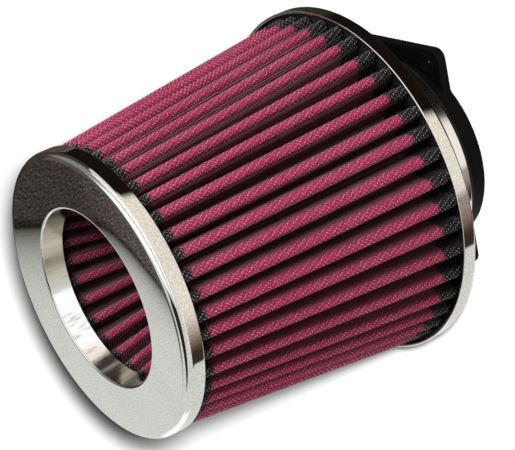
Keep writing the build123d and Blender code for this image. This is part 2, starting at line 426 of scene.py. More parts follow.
@dataclass(frozen=True)
class BrightSteel(Finish):
    """Rolled stainless strip with fine lines along the band."""

    tint: Colour = (0.95, 0.96, 1.0)
    dark_tint: Colour = (0.82, 0.83, 0.88)
    line_scales: tuple[float, float, float] = (40.0, 40.0, 5000.0)
    line_bump: float = 0.04
    line_height: float = 0.00005
    roughness: float = 0.05
    line_roughness: float = 0.05

    def inputs(self, sheet: NodeSheet) -> dict[str, Input]:
        """Metal whose fine lines run round the axis, as noise that changes fastest along Z."""
        place = self.place(sheet)
        stretched = sheet.node("ShaderNodeMapping", {}, {"Vector": place, "Scale": self.line_scales})
        lines = sheet.noise(stretched, 1.0, detail=3.0)
        return {
            "Base Color": sheet.mix(lines, self.tint, self.dark_tint),
            "Metallic": 1.0,
            "Roughness": self.roughness + self.line_roughness * lines,
            "Normal": sheet.bump(lines, self.line_bump, self.line_height),
        }


@dataclass(frozen=True)
class OiledCotton(Finish):
    """Red oiled gauze: woven threads, darkened by painted shade down the flanks and into the valleys,
    and black where resin has soaked the ends.

    The heights between which the cloth is dry, the softness of that edge, its wander and the thread's pitch
    are in millimetres. Depths are shares of the fold's depth.
    """

    red: Colour = (0.40, 0.036, 0.112)
    deep_red: Colour = (0.24, 0.014, 0.053)
    # Painted shade: what the cloth darkens to down the flanks and in the valleys
    flank: Colour = (0.185, 0.026, 0.054)
    valley: Colour = (0.112, 0.068, 0.070)
    soaked: Colour = (0.008, 0.007, 0.007)
    dry_low: float = 50.1
    dry_high: float = 154.6
    edge: float = 0.9
    blotch_scale: float = 420.0
    blotch_wander: float = 2.4
    blotch_range: Pair = (0.3, 0.7)
    blotch_share: float = 0.55
    fibre_scale: float = 3200.0
    fibre_wander: float = 2.0
    fibre_share: float = 0.3
    shade_to: float = 0.28
    shade_power: float = 0.8
    valley_depths: Pair = (0.30, 0.80)
    soaked_roughness: float = 0.45
    dry_roughness: float = 0.35
    specular: float = 0.15
    sheen: float = 0.10
    sheen_roughness: float = 0.4
    thread: float = 0.62
    thread_share: float = 0.6
    weave_bump: float = 0.6
    weave_height: float = 0.00012

    def inputs(self, sheet: NodeSheet) -> dict[str, Input]:
        """Cloth colour from painted shade by fold depth, the place along the pleat and the weave."""
        place = self.place(sheet)
        uv = sheet.node("ShaderNodeUVMap", {"uv_map": "weave"})
        turn = 2 * math.pi / self.thread
        weave = (sheet.axis(uv, 0) * turn).apply("SINE") * (sheet.axis(uv, 1) * turn).apply("SINE")
        depth = sheet.attribute("fold_depth")
        blotch = sheet.noise(place, self.blotch_scale, detail=3.0)
        fibre = sheet.noise(place, self.fibre_scale, detail=2.0)
        wander = (blotch - 0.5) * self.blotch_wander + (fibre - 0.5) * self.fibre_wander
        height = sheet.axis(place, 2) / MM + wander
        dry = height.step(self.dry_low - self.edge, self.dry_low + self.edge)
        dry = dry * height.step(self.dry_high + self.edge, self.dry_high - self.edge)
        uneven = blotch.step(*self.blotch_range) * self.blotch_share + fibre * self.fibre_share
        lit = sheet.mix(uneven, self.red, self.deep_red)
        shaded = sheet.mix((depth / self.shade_to).least(1.0) ** self.shade_power, lit, self.flank)
        shaded = sheet.mix(depth.step(*self.valley_depths), shaded, self.valley)
        return {
            "Base Color": sheet.mix(dry, self.soaked, shaded),
            "Roughness": self.soaked_roughness + dry * self.dry_roughness,
            "Specular IOR Level": self.specular,
            "Sheen Weight": self.sheen,
            "Sheen Roughness": self.sheen_roughness,
            "Normal": sheet.bump(weave * self.thread_share + fibre, self.weave_bump, self.weave_height),
        }


@dataclass(frozen=True)
class ScreenWire(Finish):
    """Oily wire of the woven screen: a painted glint where it passes over its neighbour, else darkened with
    the depth in the fold by painted shade, as its bed is.

    edge_line is how bright the painted highlight lines are on the wires that the mesh marks, on the steep
    side of each fold.
    """

    # Painted glint colours on dry and soaked wire, then wire colours that painted shade darkens with depth
    bright: Colour = (0.92, 0.65, 0.71)
    soaked_glint: Colour = (0.74, 0.70, 0.72)
    oily: Colour = (0.24, 0.018, 0.055)
    dark: Colour = (0.125, 0.034, 0.048)
    soaked: Colour = (0.014, 0.012, 0.012)
    dry_low: float = 50.1
    dry_high: float = 155.1
    dry_edge: float = 0.5
    shade_to: float = 0.30
    shade_power: float = 0.7
    knuckle_from: float = 0.66
    glint_scale: float = 900.0
    glint_range: Pair = (0.34, 0.66)
    glint_least: float = 0.28
    fade_depths: Pair = (0.32, 0.05)
    fade_least: float = 0.14
    metal: float = 0.6
    roughness: float = 0.34
    oily_roughness: float = 0.25
    specular: float = 0.2
    edge_line: float = 0.0

    def inputs(self, sheet: NodeSheet) -> dict[str, Input]:
        """Knuckle pattern along the wire: a raised cosine with one knuckle for every second crossing.

        The knuckles carry painted glints of uneven strength that fade with the depth in the fold, and the
        wire's colour darkens with that depth as painted shade.
        """
        place = self.place(sheet)
        uv = sheet.node("ShaderNodeUVMap", {"uv_map": "weave"})
        crossing = sheet.axis(uv, 0) + sheet.axis(uv, 1)
        height = sheet.axis(place, 2) / MM
        depth = sheet.attribute("fold_depth")
        swing = (crossing * math.pi).apply("COSINE") * 0.5 + 0.5
        glint_noise = sheet.noise(place, self.glint_scale, detail=2.0).step(*self.glint_range)
        uneven = glint_noise * (1 - self.glint_least) + self.glint_least
        shown = depth.step(*self.fade_depths) * (1 - self.fade_least) + self.fade_least
        knuckle = swing.step(self.knuckle_from, 1.0) * uneven * shown
        # Painted glint on the knuckles, or the painted highlight line of the steep side where brighter
        shine = knuckle.most(sheet.attribute("glint_line") * self.edge_line)
        dry = height.step(self.dry_low - self.dry_edge, self.dry_low + self.dry_edge)
        dry = dry * height.step(self.dry_high + self.dry_edge, self.dry_high - self.dry_edge)
        sunk = (depth / self.shade_to).least(1.0) ** self.shade_power
        lain = sheet.mix(dry, self.soaked, sheet.mix(sunk, self.oily, self.dark))
        return {
            "Base Color": sheet.mix(shine, lain, sheet.mix(dry, self.soaked_glint, self.bright)),
            "Metallic": shine * self.metal,
            "Roughness": self.roughness + self.oily_roughness * (1.0 - shine),
            "Specular IOR Level": self.specular,
        }


@dataclass(frozen=True)
class CastRubber(Finish):
    """Cast polyurethane: black, slightly mottled, with fine pores."""

    dark: Colour = (0.007, 0.007, 0.007)
    pale: Colour = (0.017, 0.016, 0.016)
    mottle_scale: float = 90.0
    mottle_range: Pair = (0.3, 0.8)
    pore_scale: float = 1500.0
    pore_bump: float = 0.25
    pore_height: float = 0.00012
    roughness: float = 0.50
    mottle_roughness: float = 0.18
    specular: float = 0.12

    def inputs(self, sheet: NodeSheet) -> dict[str, Input]:
        """Matt black with a soft mottle and pores."""
        place = self.place(sheet)
        mottle = sheet.noise(place, self.mottle_scale, detail=4.0)
        pores = sheet.noise(place, self.pore_scale, detail=2.0)
        return {
            "Base Color": sheet.mix(mottle.step(*self.mottle_range), self.dark, self.pale),
            "Roughness": self.roughness + mottle * self.mottle_roughness,
            "Specular IOR Level": self.specular,
            "Normal": sheet.bump(pores, self.pore_bump, self.pore_height),
        }


@dataclass(frozen=True)
class MouldedPlastic(Finish):
    """Glass-filled moulding: near black, with the fine grain of a spark-eroded mould."""

    dark: Colour = (0.0015, 0.0015, 0.0015)
    pale: Colour = (0.006, 0.006, 0.006)
    grain_scale: float = 1100.0
    grain_share: float = 0.5
    grain_bump: float = 0.35
    grain_height: float = 0.00015
    flow_scale: float = 70.0
    flow_share: float = 0.4
    roughness: float = 0.40
    grain_roughness: float = 0.2
    specular: float = 0.06

    def inputs(self, sheet: NodeSheet) -> dict[str, Input]:
        """Dark grain of two scales, the finer of which also drives the gloss."""
        place = self.place(sheet)
        grain = sheet.noise(place, self.grain_scale, detail=3.0, roughness=0.6)
        flow = sheet.noise(place, self.flow_scale, detail=3.0)
        tone = grain * self.grain_share + flow * self.flow_share
        return {
            "Base Color": sheet.mix(tone, self.dark, self.pale),
            "Roughness": self.roughness + grain * self.grain_roughness,
            "Specular IOR Level": self.specular,
            "Normal": sheet.bump(grain, self.grain_bump, self.grain_height),
        }


# Surfaces


@dataclass
class Surface:
    """Vertices and faces of one piece, worked out as whole arrays.

    quads and triangles index the vertices. weave holds a UV pair for each corner of each quad, depths a
    share of the pleat's depth for each vertex, from which the finishes paint shade, and glint_line how
    bright a painted highlight line on its wire is. All three may be left out.
    """

    vertices: np.ndarray
    quads: np.ndarray
    triangles: np.ndarray = field(default_factory=lambda: np.zeros((0, 3), np.int64))
    weave: np.ndarray | None = None
    depths: np.ndarray | None = None
    glint_line: np.ndarray | None = None

    def repeated(self, shifts: Sequence[Sequence[float]]) -> "Surface":
        """Copies of a surface of quads in one mesh.

        Args:
            shifts: The move of each copy, as (x, y, z).

        Returns:
            One surface with the faces of all copies.
        """
        starts = np.arange(len(shifts))[:, None, None] * len(self.vertices)
        vertices = self.vertices + np.array(shifts)[:, None]
        return Surface(vertices.reshape(-1, 3), (self.quads + starts).reshape(-1, 4))

    def mesh(self, name: str) -> bpy.types.Mesh:
        """Writes the arrays into a Blender mesh, in metres.

        Args:
            name: Name of the mesh.

        Returns:
            The mesh, smooth shaded.
        """
        made = bpy.data.meshes.new(name)
        corners = np.concatenate([self.quads.ravel(), self.triangles.ravel()]).astype(np.int32)
        sizes = np.repeat([4, 3], [len(self.quads), len(self.triangles)]).astype(np.int32)
        starts = np.concatenate([[0], np.cumsum(sizes)[:-1]]).astype(np.int32)
        made.vertices.add(len(self.vertices))
        made.vertices.foreach_set("co", (self.vertices * MM).astype(np.float32).ravel())
        made.loops.add(len(corners))
        made.loops.foreach_set("vertex_index", corners)
        made.polygons.add(len(sizes))
        made.polygons.foreach_set("loop_start", starts)
        made.polygons.foreach_set("loop_total", sizes)
        made.polygons.foreach_set("use_smooth", np.ones(len(sizes), bool))
        if self.weave is not None:
            pairs = np.zeros((len(corners), 2), np.float32)
            pairs[: self.weave.shape[0] * 4] = self.weave.reshape(-1, 2)
            made.uv_layers.new(name="weave").data.foreach_set("uv", pairs.ravel())
        for title, marks in (("fold_depth", self.depths), ("glint_line", self.glint_line)):
            if marks is not None:
                attribute = made.attributes.new(title, "FLOAT", "POINT")
                attribute.data.foreach_set("value", marks.astype(np.float32).ravel())
        made.update(calc_edges=True)
        made.validate()
        return made


def grid_quads(rows: int, columns: int, close_rows: bool, close_columns: bool) -> np.ndarray:
    """Quads of a grid of vertices that is stored row by row.

    Each quad runs (row, column), (row + 1, column), (row + 1, column + 1), (row, column + 1), so its normal
    is the step to the next row crossed with the step to the next column.

    Args:
        rows: Number of rows of vertices.
        columns: Number of columns of vertices.
        close_rows: Whether the last row joins the first.
        close_columns: Whether the last column joins the first.

    Returns:
        Vertex numbers, four for each quad.
    """
    row = np.arange(rows if close_rows else rows - 1)[:, None]
    column = np.arange(columns if close_columns else columns - 1)[None, :]
    here, below, beside = row * columns, (row + 1) % rows * columns, (column + 1) % columns
    corners = [here + column, below + column, below + beside, here + beside]
    return np.stack(np.broadcast_arrays(*corners), axis=-1).reshape(-1, 4)


def quad_weave(along: Sequence[np.ndarray], beside: Sequence[np.ndarray]) -> np.ndarray:
    """UV pairs of many quads, from the first and the second number at each of the four corners."""
    return np.stack([np.stack(along, axis=-1), np.stack(beside, axis=-1)], axis=-1)


def rounded_loop(corners: Sequence[Pair], radii: Sequence[float], steps: int) -> np.ndarray:
    """Closed section with rounded corners.

    Each corner becomes an arc that touches both sides: its centre lies on the bisector, and the arc is a
    spherical blend of the two spokes to the touching points. One more point beside each end of an arc keeps
    the straight stretches flat when the surface is shaded smooth.

    Args:
        corners: (radius, height) of each corner, in order.
        radii: Rounding of each corner.
        steps: Segments of each arc.

    Returns:
        Points of the loop, anticlockwise.
    """
    corner = np.array(corners, float)
    if np.sum(corner[:, 0] * np.roll(corner[:, 1], -1) - np.roll(corner[:, 0], -1) * corner[:, 1]) < 0:
        corner, radii = corner[::-1], list(radii)[::-1]
    radius = np.array(radii, float)[:, None]
    before = np.roll(corner, 1, axis=0) - corner
    after = np.roll(corner, -1, axis=0) - corner
    room = np.minimum(np.linalg.norm(before, axis=1), np.linalg.norm(after, axis=1))[:, None]
    before /= np.linalg.norm(before, axis=1)[:, None]
    after /= np.linalg.norm(after, axis=1)[:, None]
    half = np.arccos(np.clip(np.sum(before * after, axis=1), -1, 1))[:, None] / 2
    reach = radius / np.tan(half)
    bisector = before + after
    bisector /= np.linalg.norm(bisector, axis=1)[:, None]
    centre = corner + bisector * radius / np.sin(half)
    first, last = corner + before * reach, corner + after * reach
    sweep = (np.pi - 2 * half)[:, None, :]
    share = np.linspace(0, 1, steps + 1)[None, :, None]
    from_first = np.sin((1 - share) * sweep) * (first - centre)[:, None]
    from_last = np.sin(share * sweep) * (last - centre)[:, None]
    arc = centre[:, None] + (from_first + from_last) / np.sin(sweep)
    margin = np.minimum(FLAT_MARGIN, FLAT_SHARE * np.maximum(room - reach, 0.0))
    lead, trail = first + before * margin, last + after * margin
    return np.concatenate([lead[:, None], arc, trail[:, None]], axis=1).reshape(-1, 2)


def lathe(section: np.ndarray, segments: int) -> Surface:
    """Turns a closed section about Z: x = r cos(a), y = r sin(a), z = height.

    Args:
        section: (radius, height) points of the loop, anticlockwise.
        segments: Steps round the axis.

    Returns:
        A closed ring.
    """
    angle = np.linspace(0, 2 * np.pi, segments, endpoint=False)[:, None]
    radius, height = section.T[:, None]
    points = np.broadcast_arrays(radius * np.cos(angle), radius * np.sin(angle), height)
    quads = grid_quads(segments, len(section), True, True)
    return Surface(np.stack(points, axis=-1).reshape(-1, 3), quads)


def fan_caps(rows: int, columns: int) -> np.ndarray:
    """Triangle fans that close the first and the last row of a grid whose columns are closed.

    Args:
        rows: Number of rows.
        columns: Vertices in a row.

    Returns:
        Vertex numbers, three for each triangle, facing away from the grid.
    """
    spoke = np.arange(1, columns - 1)
    near = np.stack([np.zeros_like(spoke), spoke, spoke + 1], axis=-1)
    far = np.stack([np.zeros_like(spoke), spoke + 1, spoke], axis=-1) + (rows - 1) * columns
    return np.concatenate([near, far])


def tubes(lines: np.ndarray, across: np.ndarray, along: np.ndarray, radius: float, closed: bool) -> Surface:
    """Three-sided wires: each point of a line gets a small triangle in the plane of two unit vectors.

    Args:
        lines: Points, as (line, point, xyz).
        across: First unit vector at each point, which points away from the cloth.
        along: Second unit vector at each point.
        radius: Radius of the wire.
        closed: Whether each line runs back into its start.

    Returns:
        All wires as one surface, with fans at open ends.
    """
    count, length, _ = lines.shape
    angle = np.radians(90.0 + 360.0 / WIRE_SIDES * np.arange(WIRE_SIDES))
    rise, aside = np.sin(angle)[:, None], np.cos(angle)[:, None]
    ring = rise * across[:, :, None, :] + aside * along[:, :, None, :]
    vertices = (lines[:, :, None, :] + radius * ring).reshape(-1, 3)
    starts = (np.arange(count) * length * WIRE_SIDES)[:, None, None]
    quads = (grid_quads(length, WIRE_SIDES, closed, True) + starts).reshape(-1, 4)
    if closed:
        return Surface(vertices, quads)
    return Surface(vertices, quads, (fan_caps(length, WIRE_SIDES) + starts).reshape(-1, 3))


# Pieces


def finish_piece(
    name: str,
    mesh: bpy.types.Mesh,
    material: bpy.types.Material,
    replaced: Sequence[str] = (),
    sharp_from: float | None = 40.0,
) -> bpy.types.Object:
    """Links a mesh as a piece that rides on the filter.

    Args:
        name: Name of the piece.
        mesh: Its mesh, in metres and in the row frame.
        material: Its finish.
        replaced: CAD nodes that it stands for.
        sharp_from: Angle in degrees above which an edge stays sharp, or None for no sharp edges.

    Returns:
        The object.
    """
    made = bpy.data.objects.new(name, mesh)
    bpy.context.scene.collection.objects.link(made)
    mesh.materials.clear()
    mesh.materials.append(material)
    if sharp_from is not None:
        mesh.set_sharp_from_angle(angle=math.radians(sharp_from))
    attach(made, BODY)
    if replaced:
        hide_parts(*replaced)
    LOG.info("%s: %d faces", name, len(mesh.polygons))
    return made


def weld(mesh: bpy.types.Mesh) -> bpy.types.Mesh:
    """Merges vertices that lie on each other, which closes poles."""
    work = bmesh.new()
    work.from_mesh(mesh)
    bmesh.ops.remove_doubles(work, verts=work.verts, dist=WELD_REACH * MM)
    bmesh.ops.dissolve_degenerate(work, edges=work.edges, dist=SLIVER_REACH * MM)
    work.to_mesh(mesh)
    work.free()
    return mesh


@dataclass
class Turned:
    """A piece that is turned about the axis from one closed section and stands for one CAD node."""

    piece: str
    node: str
    slot: Slot

    def surface(self) -> Surface:
        """Turned surface; each piece gives its own."""
        raise NotImplementedError

    def mesh(self) -> bpy.types.Mesh:
        """Mesh of the turned surface."""
        return self.surface().mesh(self.piece)

    def build(self, material: bpy.types.Material) -> None:
        """Makes the piece."""
        finish_piece(self.piece, self.mesh(), material, [self.node])


@dataclass
class FrontCap(Turned):
    """Pressed front cap: skirt, rolled rim, flat ring and tapered collar with a rolled lip."""

    piece: str = "front_cap_chrome"
    node: str = "front_cap"
    slot: Slot = Slot.CAP_CHROME
    rim_radius: float = 60.5
    face_z: float = 167.8
    skirt_z: float = 159.4
    collar_z: float = 158.2
    mouth_radius: float = 35.9
    taper: float = 1.5
    sheet: float = 1.2
    rim_round: float = 3.0
    lip_round: float = 0.8
    edge_round: float = 0.45
    segments: int = 360

    def collar(self, z: float) -> float:
        """Inside radius of the collar at one height: a straight taper from its inner end."""
        return self.mouth_radius + self.taper * (z - self.collar_z) / (self.face_z - self.collar_z)

    def surface(self) -> Surface:
        """Cap turned from its pressed section.

        Returns:
            Closed ring.
        """
        under = self.face_z - self.sheet
        pan = self.rim_radius - self.sheet
        corners = [
            (self.rim_radius, self.skirt_z),
            (self.rim_radius, self.face_z),
            (self.collar(self.face_z), self.face_z),
            (self.mouth_radius, self.collar_z),
            (self.mouth_radius + self.sheet, self.collar_z),
            (self.collar(under) + self.sheet, under),
            (pan, under),
            (pan, self.skirt_z),
        ]
        edge = self.edge_round
        inner_rim = self.rim_round - self.sheet
        radii = [edge, self.rim_round, self.lip_round, edge, edge, edge, inner_rim, edge]
        return lathe(rounded_loop(corners, radii, steps=12), self.segments)


@dataclass
class RearCap(Turned):
    """Shallow rear pan with rolled edges."""

    piece: str = "rear_cap_chrome"
    node: str = "rear_cap"
    slot: Slot = Slot.CAP_CHROME
    rim_radius: float = 74.97
    back_z: float = 36.6
    skirt_z: float = 42.9
    lip_radius: float = 66.0
    sheet: float = 1.2
    rim_round: float = 0.9
    edge_round: float = 0.3
    segments: int = 400

    def surface(self) -> Surface:
        """Pan turned from its section.

        Returns:
            Closed ring.
        """
        inside = self.back_z + self.sheet
        pan = self.rim_radius - self.sheet
        corners = [
            (self.rim_radius, self.skirt_z),
            (self.rim_radius, self.back_z),
            (self.lip_radius, self.back_z),
            (self.lip_radius, inside),
            (pan, inside),
            (pan, self.skirt_z),
        ]
        edge = self.edge_round
        radii = [edge, self.rim_round, edge, edge, edge, edge]
        return lathe(rounded_loop(corners, radii, steps=8), self.segments)


@dataclass
class Base(Turned):
    """Cast base with its neck."""

    piece: str = "base_cast"
    node: str = "base_neck"
    slot: Slot = Slot.POLYURETHANE
    bore_radius: float = 41.35
    neck_radius: float = 47.75
    disc_radius: float = 73.7
    neck_z: float = 11.8
    disc_z: float = 37.8
    top_z: float = 40.7
    neck_round: float = 1.2
    root_round: float = 2.0
    disc_round: float = 0.3
    segments: int = 256

    def surface(self) -> Surface:
        """Base and neck turned from one section.

        Returns:
            Closed ring.
        """
        corners = [
            (self.bore_radius, self.neck_z),
            (self.neck_radius, self.neck_z),
            (self.neck_radius, self.disc_z),
            (self.disc_radius, self.disc_z),
            (self.disc_radius, self.top_z),
            (self.bore_radius, self.top_z),
        ]
        neck, disc = self.neck_round, self.disc_round
        radii = [neck, neck, self.root_round, disc, disc, neck]
        return lathe(rounded_loop(corners, radii, steps=6), self.segments)


@dataclass
class TipCap(Turned):
    """Cast disc that closes the inner cone."""

    piece: str = "tip_cap_cast"
    node: str = "inner_tip_cap"
    slot: Slot = Slot.POLYURETHANE
    radius: float = 28.617
    low_z: float = 90.7
    high_z: float = 95.7
    edge_round: float = 1.0
    segments: int = 128

    def surface(self) -> Surface:
        """Disc turned from a section that touches the axis.

        Returns:
            Closed disc, whose poles still have to be welded.
        """
        low, high = self.low_z, self.high_z
        corners = [(0.0, low), (self.radius, low), (self.radius, high), (0.0, high)]
        radii = [0.0, self.edge_round, self.edge_round, 0.0]
        return lathe(rounded_loop(corners, radii, steps=6), self.segments)

    def mesh(self) -> bpy.types.Mesh:
        """Mesh of the disc, with its poles welded."""
        return weld(super().mesh())


@dataclass
class Clamp:
    """Worm-drive clamp: the band and its slotted tail. The CAD model shows its housing and its screw."""

    inner_radius: float = 47.85
    band: float = 0.9
    low_z: float = 14.2
    width: float = 12.0
    edge_round: float = 0.38
    tail_from: float = 80.0
    tail_arc: float = 46.0
    tail_steps: int = 30
    slots: int = 7
    slot_pitch: float = 4.6
    slot_length: float = 7.0
    slot_width: float = 1.6
    segments: int = 300

    def strip(self) -> Surface:
        """One turn of rounded strip."""
        inner, outer = self.inner_radius, self.inner_radius + self.band
        low, high = self.low_z, self.low_z + self.width
        corners = [(inner, low), (outer, low), (outer, high), (inner, high)]
        return lathe(rounded_loop(corners, [self.edge_round] * 4, steps=4), self.segments)

    def tail(self) -> Surface:
        """Slotted tail as one sheet, which is thickened later.

        The sheet is a grid of angle and height. Its lines lie on the slots' edges, and the cells inside the
        slots are left out.

        Returns:
            Open sheet on the band's outside.
        """
        radius = self.inner_radius + self.band
        half = math.degrees(self.slot_width / 2 / (radius + self.band))
        middles = self.tail_from + self.tail_arc - self.slot_pitch * np.arange(self.slots, 0, -1)
        edges = np.sort(np.concatenate([middles - half, middles + half]))
        ends = [self.tail_from, self.tail_from + self.tail_arc]
        angles = np.unique(np.concatenate([np.linspace(*ends, self.tail_steps + 1), edges]))
        middle_z = self.low_z + self.width / 2
        slot_ends = [middle_z - self.slot_length / 2, middle_z + self.slot_length / 2]
        heights = np.array([self.low_z, *slot_ends, self.low_z + self.width])
        grid_angle, grid_height = np.meshgrid(np.radians(angles), heights, indexing="ij")
        points = np.stack([radius * np.cos(grid_angle), radius * np.sin(grid_angle), grid_height], axis=-1)
        between = (angles[:-1] + angles[1:]) / 2
        in_slot = np.min(np.abs(between[:, None] - middles[None, :]), axis=1) < half
        open_cell = in_slot[:, None] & np.array([False, True, False])
        cells = grid_quads(len(angles), len(heights), False, False).reshape(*open_cell.shape, 4)
        return Surface(points.reshape(-1, 3), cells[~open_cell])

    def build(self, material: bpy.types.Material) -> None:
        """Makes the band and the tail."""
        band = self.strip().mesh("clamp_band_strip")
        finish_piece("clamp_band_strip", band, material, ["clamp_band"])
        tail = finish_piece("clamp_tail", self.tail().mesh("clamp_tail"), material)
        wall = tail.modifiers.new("wall", "SOLIDIFY")
        wall.thickness = self.band * MM
        wall.offset = 1.0


@dataclass
class Adapter:
    """Moulded flange adapter: plate with rounded edges, spigot, and low bosses round the bolt holes.

    The plate's bore and holes end inside the walls of the spigot and of the sleeves that line them, and the
    lifts keep the lower ends of those walls off the plate's own face.
    """

    spigot_radius: float = 41.25
    outlet_radius: float = 37.5
    spigot_z: float = 33.3
    plate_z: float = 4.3
    half_length: float = 48.6
    half_width: float = 28.3
    corner: float = 4.5
    blend: float = 3.0
    bolt_x: float = 42.5
    bolt_y: float = 20.0
    hole_radius: float = 3.3
    boss_radius: float = 4.6
    boss_height: float = 0.45
    boss_rounds: tuple[float, float, float, float] = (0.1, 0.05, 0.3, 0.2)
    edge_round: float = 0.5
    plate_overlap: float = 0.8
    foot_inset: float = 0.6
    foot_lift: float = 0.05
    foot_round: float = 0.02
    sleeve_lift: float = 0.02
    segments: int = 256
    corner_points: int = 9
    blend_points: int = 13
    hub_points: int = 17
    bore_points: int = 128
    hole_points: int = 32
    edge_steps: int = 3
    boss_segments: int = 48

    def bolts(self) -> list[Pair]:
        """Centres of the bolt holes."""
        return [(x, y) for x in (-self.bolt_x, self.bolt_x) for y in (-self.bolt_y, self.bolt_y)]

    @staticmethod
    def arc(
        first: float, last: float, points: int, radius: float, centre: Pair = (0.0, 0.0)
    ) -> np.ndarray:
        """Points of an arc.

        Args:
            first: First angle, in radians.
            last: Last angle.
            points: Number of points.
            radius: Radius of the arc.
            centre: Its centre.

        Returns:
            The points, as (point, xy).
        """
        angle = np.linspace(first, last, points)
        return np.array(centre) + radius * np.stack([np.cos(angle), np.sin(angle)], axis=-1)

    def outline(self) -> np.ndarray:
        """Plan of the plate: a rounded rectangle joined to the spigot's circle by tangent arcs.

        The blend arc's centre lies one blend radius outside both the long side and the circle. A quarter is
        corner arc, blend arc and circle arc in order, and is mirrored twice.

        Returns:
            Points of the closed outline, anticlockwise.
        """
        centre_y = self.half_width + self.blend
        centre_x = math.sqrt((self.spigot_radius + self.blend) ** 2 - centre_y**2)
        meet = math.atan2(centre_y, centre_x)
        corner = (self.half_length - self.corner, self.half_width - self.corner)
        corner_arc = self.arc(0, np.pi / 2, self.corner_points, self.corner, corner)
        blend = (centre_x, centre_y)
        blend_arc = self.arc(-np.pi / 2, meet - np.pi, self.blend_points, self.blend, blend)
        hub_arc = self.arc(meet, np.pi / 2, self.hub_points, self.spigot_radius)[1:]
        quarter = np.concatenate([corner_arc, blend_arc, hub_arc])
        half = np.concatenate([quarter, (quarter * [-1, 1])[::-1][1:]])
        return np.concatenate([half, (half * [1, -1])[::-1]])

    def plate(self) -> bpy.types.Mesh:
        """Plate with its holes, cut from a flat curve whose edges are rounded.

        Returns:
            The plate's mesh, in place.
        """
        curve = bpy.data.curves.new("flange_plan", "CURVE")
        curve.dimensions = "2D"
        curve.fill_mode = "BOTH"
        curve.bevel_depth = self.edge_round * MM
        curve.bevel_resolution = self.edge_steps
        curve.offset = -self.edge_round * MM
        curve.extrude = (self.plate_z / 2 - self.edge_round) * MM
        bore_seat = self.outlet_radius + self.plate_overlap
        bore = self.arc(0, 2 * np.pi, self.bore_points + 1, bore_seat)[:-1]
        hole_seat = (self.hole_radius + self.boss_radius) / 2
        hole = self.arc(0, 2 * np.pi, self.hole_points + 1, hole_seat)[:-1]
        holes = [(hole + centre)[::-1] for centre in self.bolts()]
        for loop in [self.outline(), bore[::-1], *holes]:
            spline = curve.splines.new("POLY")
            spline.points.add(len(loop) - 1)
            flat = np.column_stack([loop * MM, np.zeros(len(loop)), np.ones(len(loop))])
            spline.points.foreach_set("co", flat.astype(np.float32).ravel())
            spline.use_cyclic_u = True
        drawn = bpy.data.objects.new("flange_plan", curve)
        bpy.context.scene.collection.objects.link(drawn)
        graph = bpy.context.evaluated_depsgraph_get()
        mesh = bpy.data.meshes.new_from_object(drawn.evaluated_get(graph))
        bpy.data.objects.remove(drawn)
        bpy.data.curves.remove(curve)
        mesh.transform(Matrix.Translation((0, 0, self.plate_z / 2 * MM)))
        mesh.name = "flange_plate"
        mesh.shade_smooth()
        return weld(mesh)

    def spigot(self) -> Surface:
        """Tube turned from its section, from the mounting face to its end in the neck.

        Returns:
            Closed ring.
        """
        corners = [
            (self.outlet_radius, 0.0),
            (self.spigot_radius - self.foot_inset, self.foot_lift),
            (self.spigot_radius, self.plate_z / 2),
            (self.spigot_radius, self.spigot_z),
            (self.outlet_radius, self.spigot_z),
        ]
        edge, foot = self.edge_round, self.foot_round
        radii = [edge, foot, foot, edge, edge]
        return lathe(rounded_loop(corners, radii, steps=5), self.segments)

    def bosses(self) -> Surface:
        """Sleeves that line the bolt holes and end in low rings on the plate."""
        low, top = self.sleeve_lift, self.plate_z + self.boss_height
        hole, boss = self.hole_radius, self.boss_radius
        corners = [(hole, low), (boss, low), (boss, top), (hole, top)]
        ring = lathe(rounded_loop(corners, self.boss_rounds, steps=4), self.boss_segments)
        return ring.repeated([(*bolt, 0.0) for bolt in self.bolts()])

    def build(self, plastic: bpy.types.Material) -> None:
        """Makes the plate, the spigot and the bosses."""
        plate = finish_piece("flange_plate", self.plate(), plastic, ["adapter"], sharp_from=None)
        even = plate.modifiers.new("even_normals", "WEIGHTED_NORMAL")
        even.keep_sharp = True
        finish_piece("flange_spigot", self.spigot().mesh("flange_spigot"), plastic)
        finish_piece("flange_bosses", self.bosses().mesh("flange_bosses"), plastic)


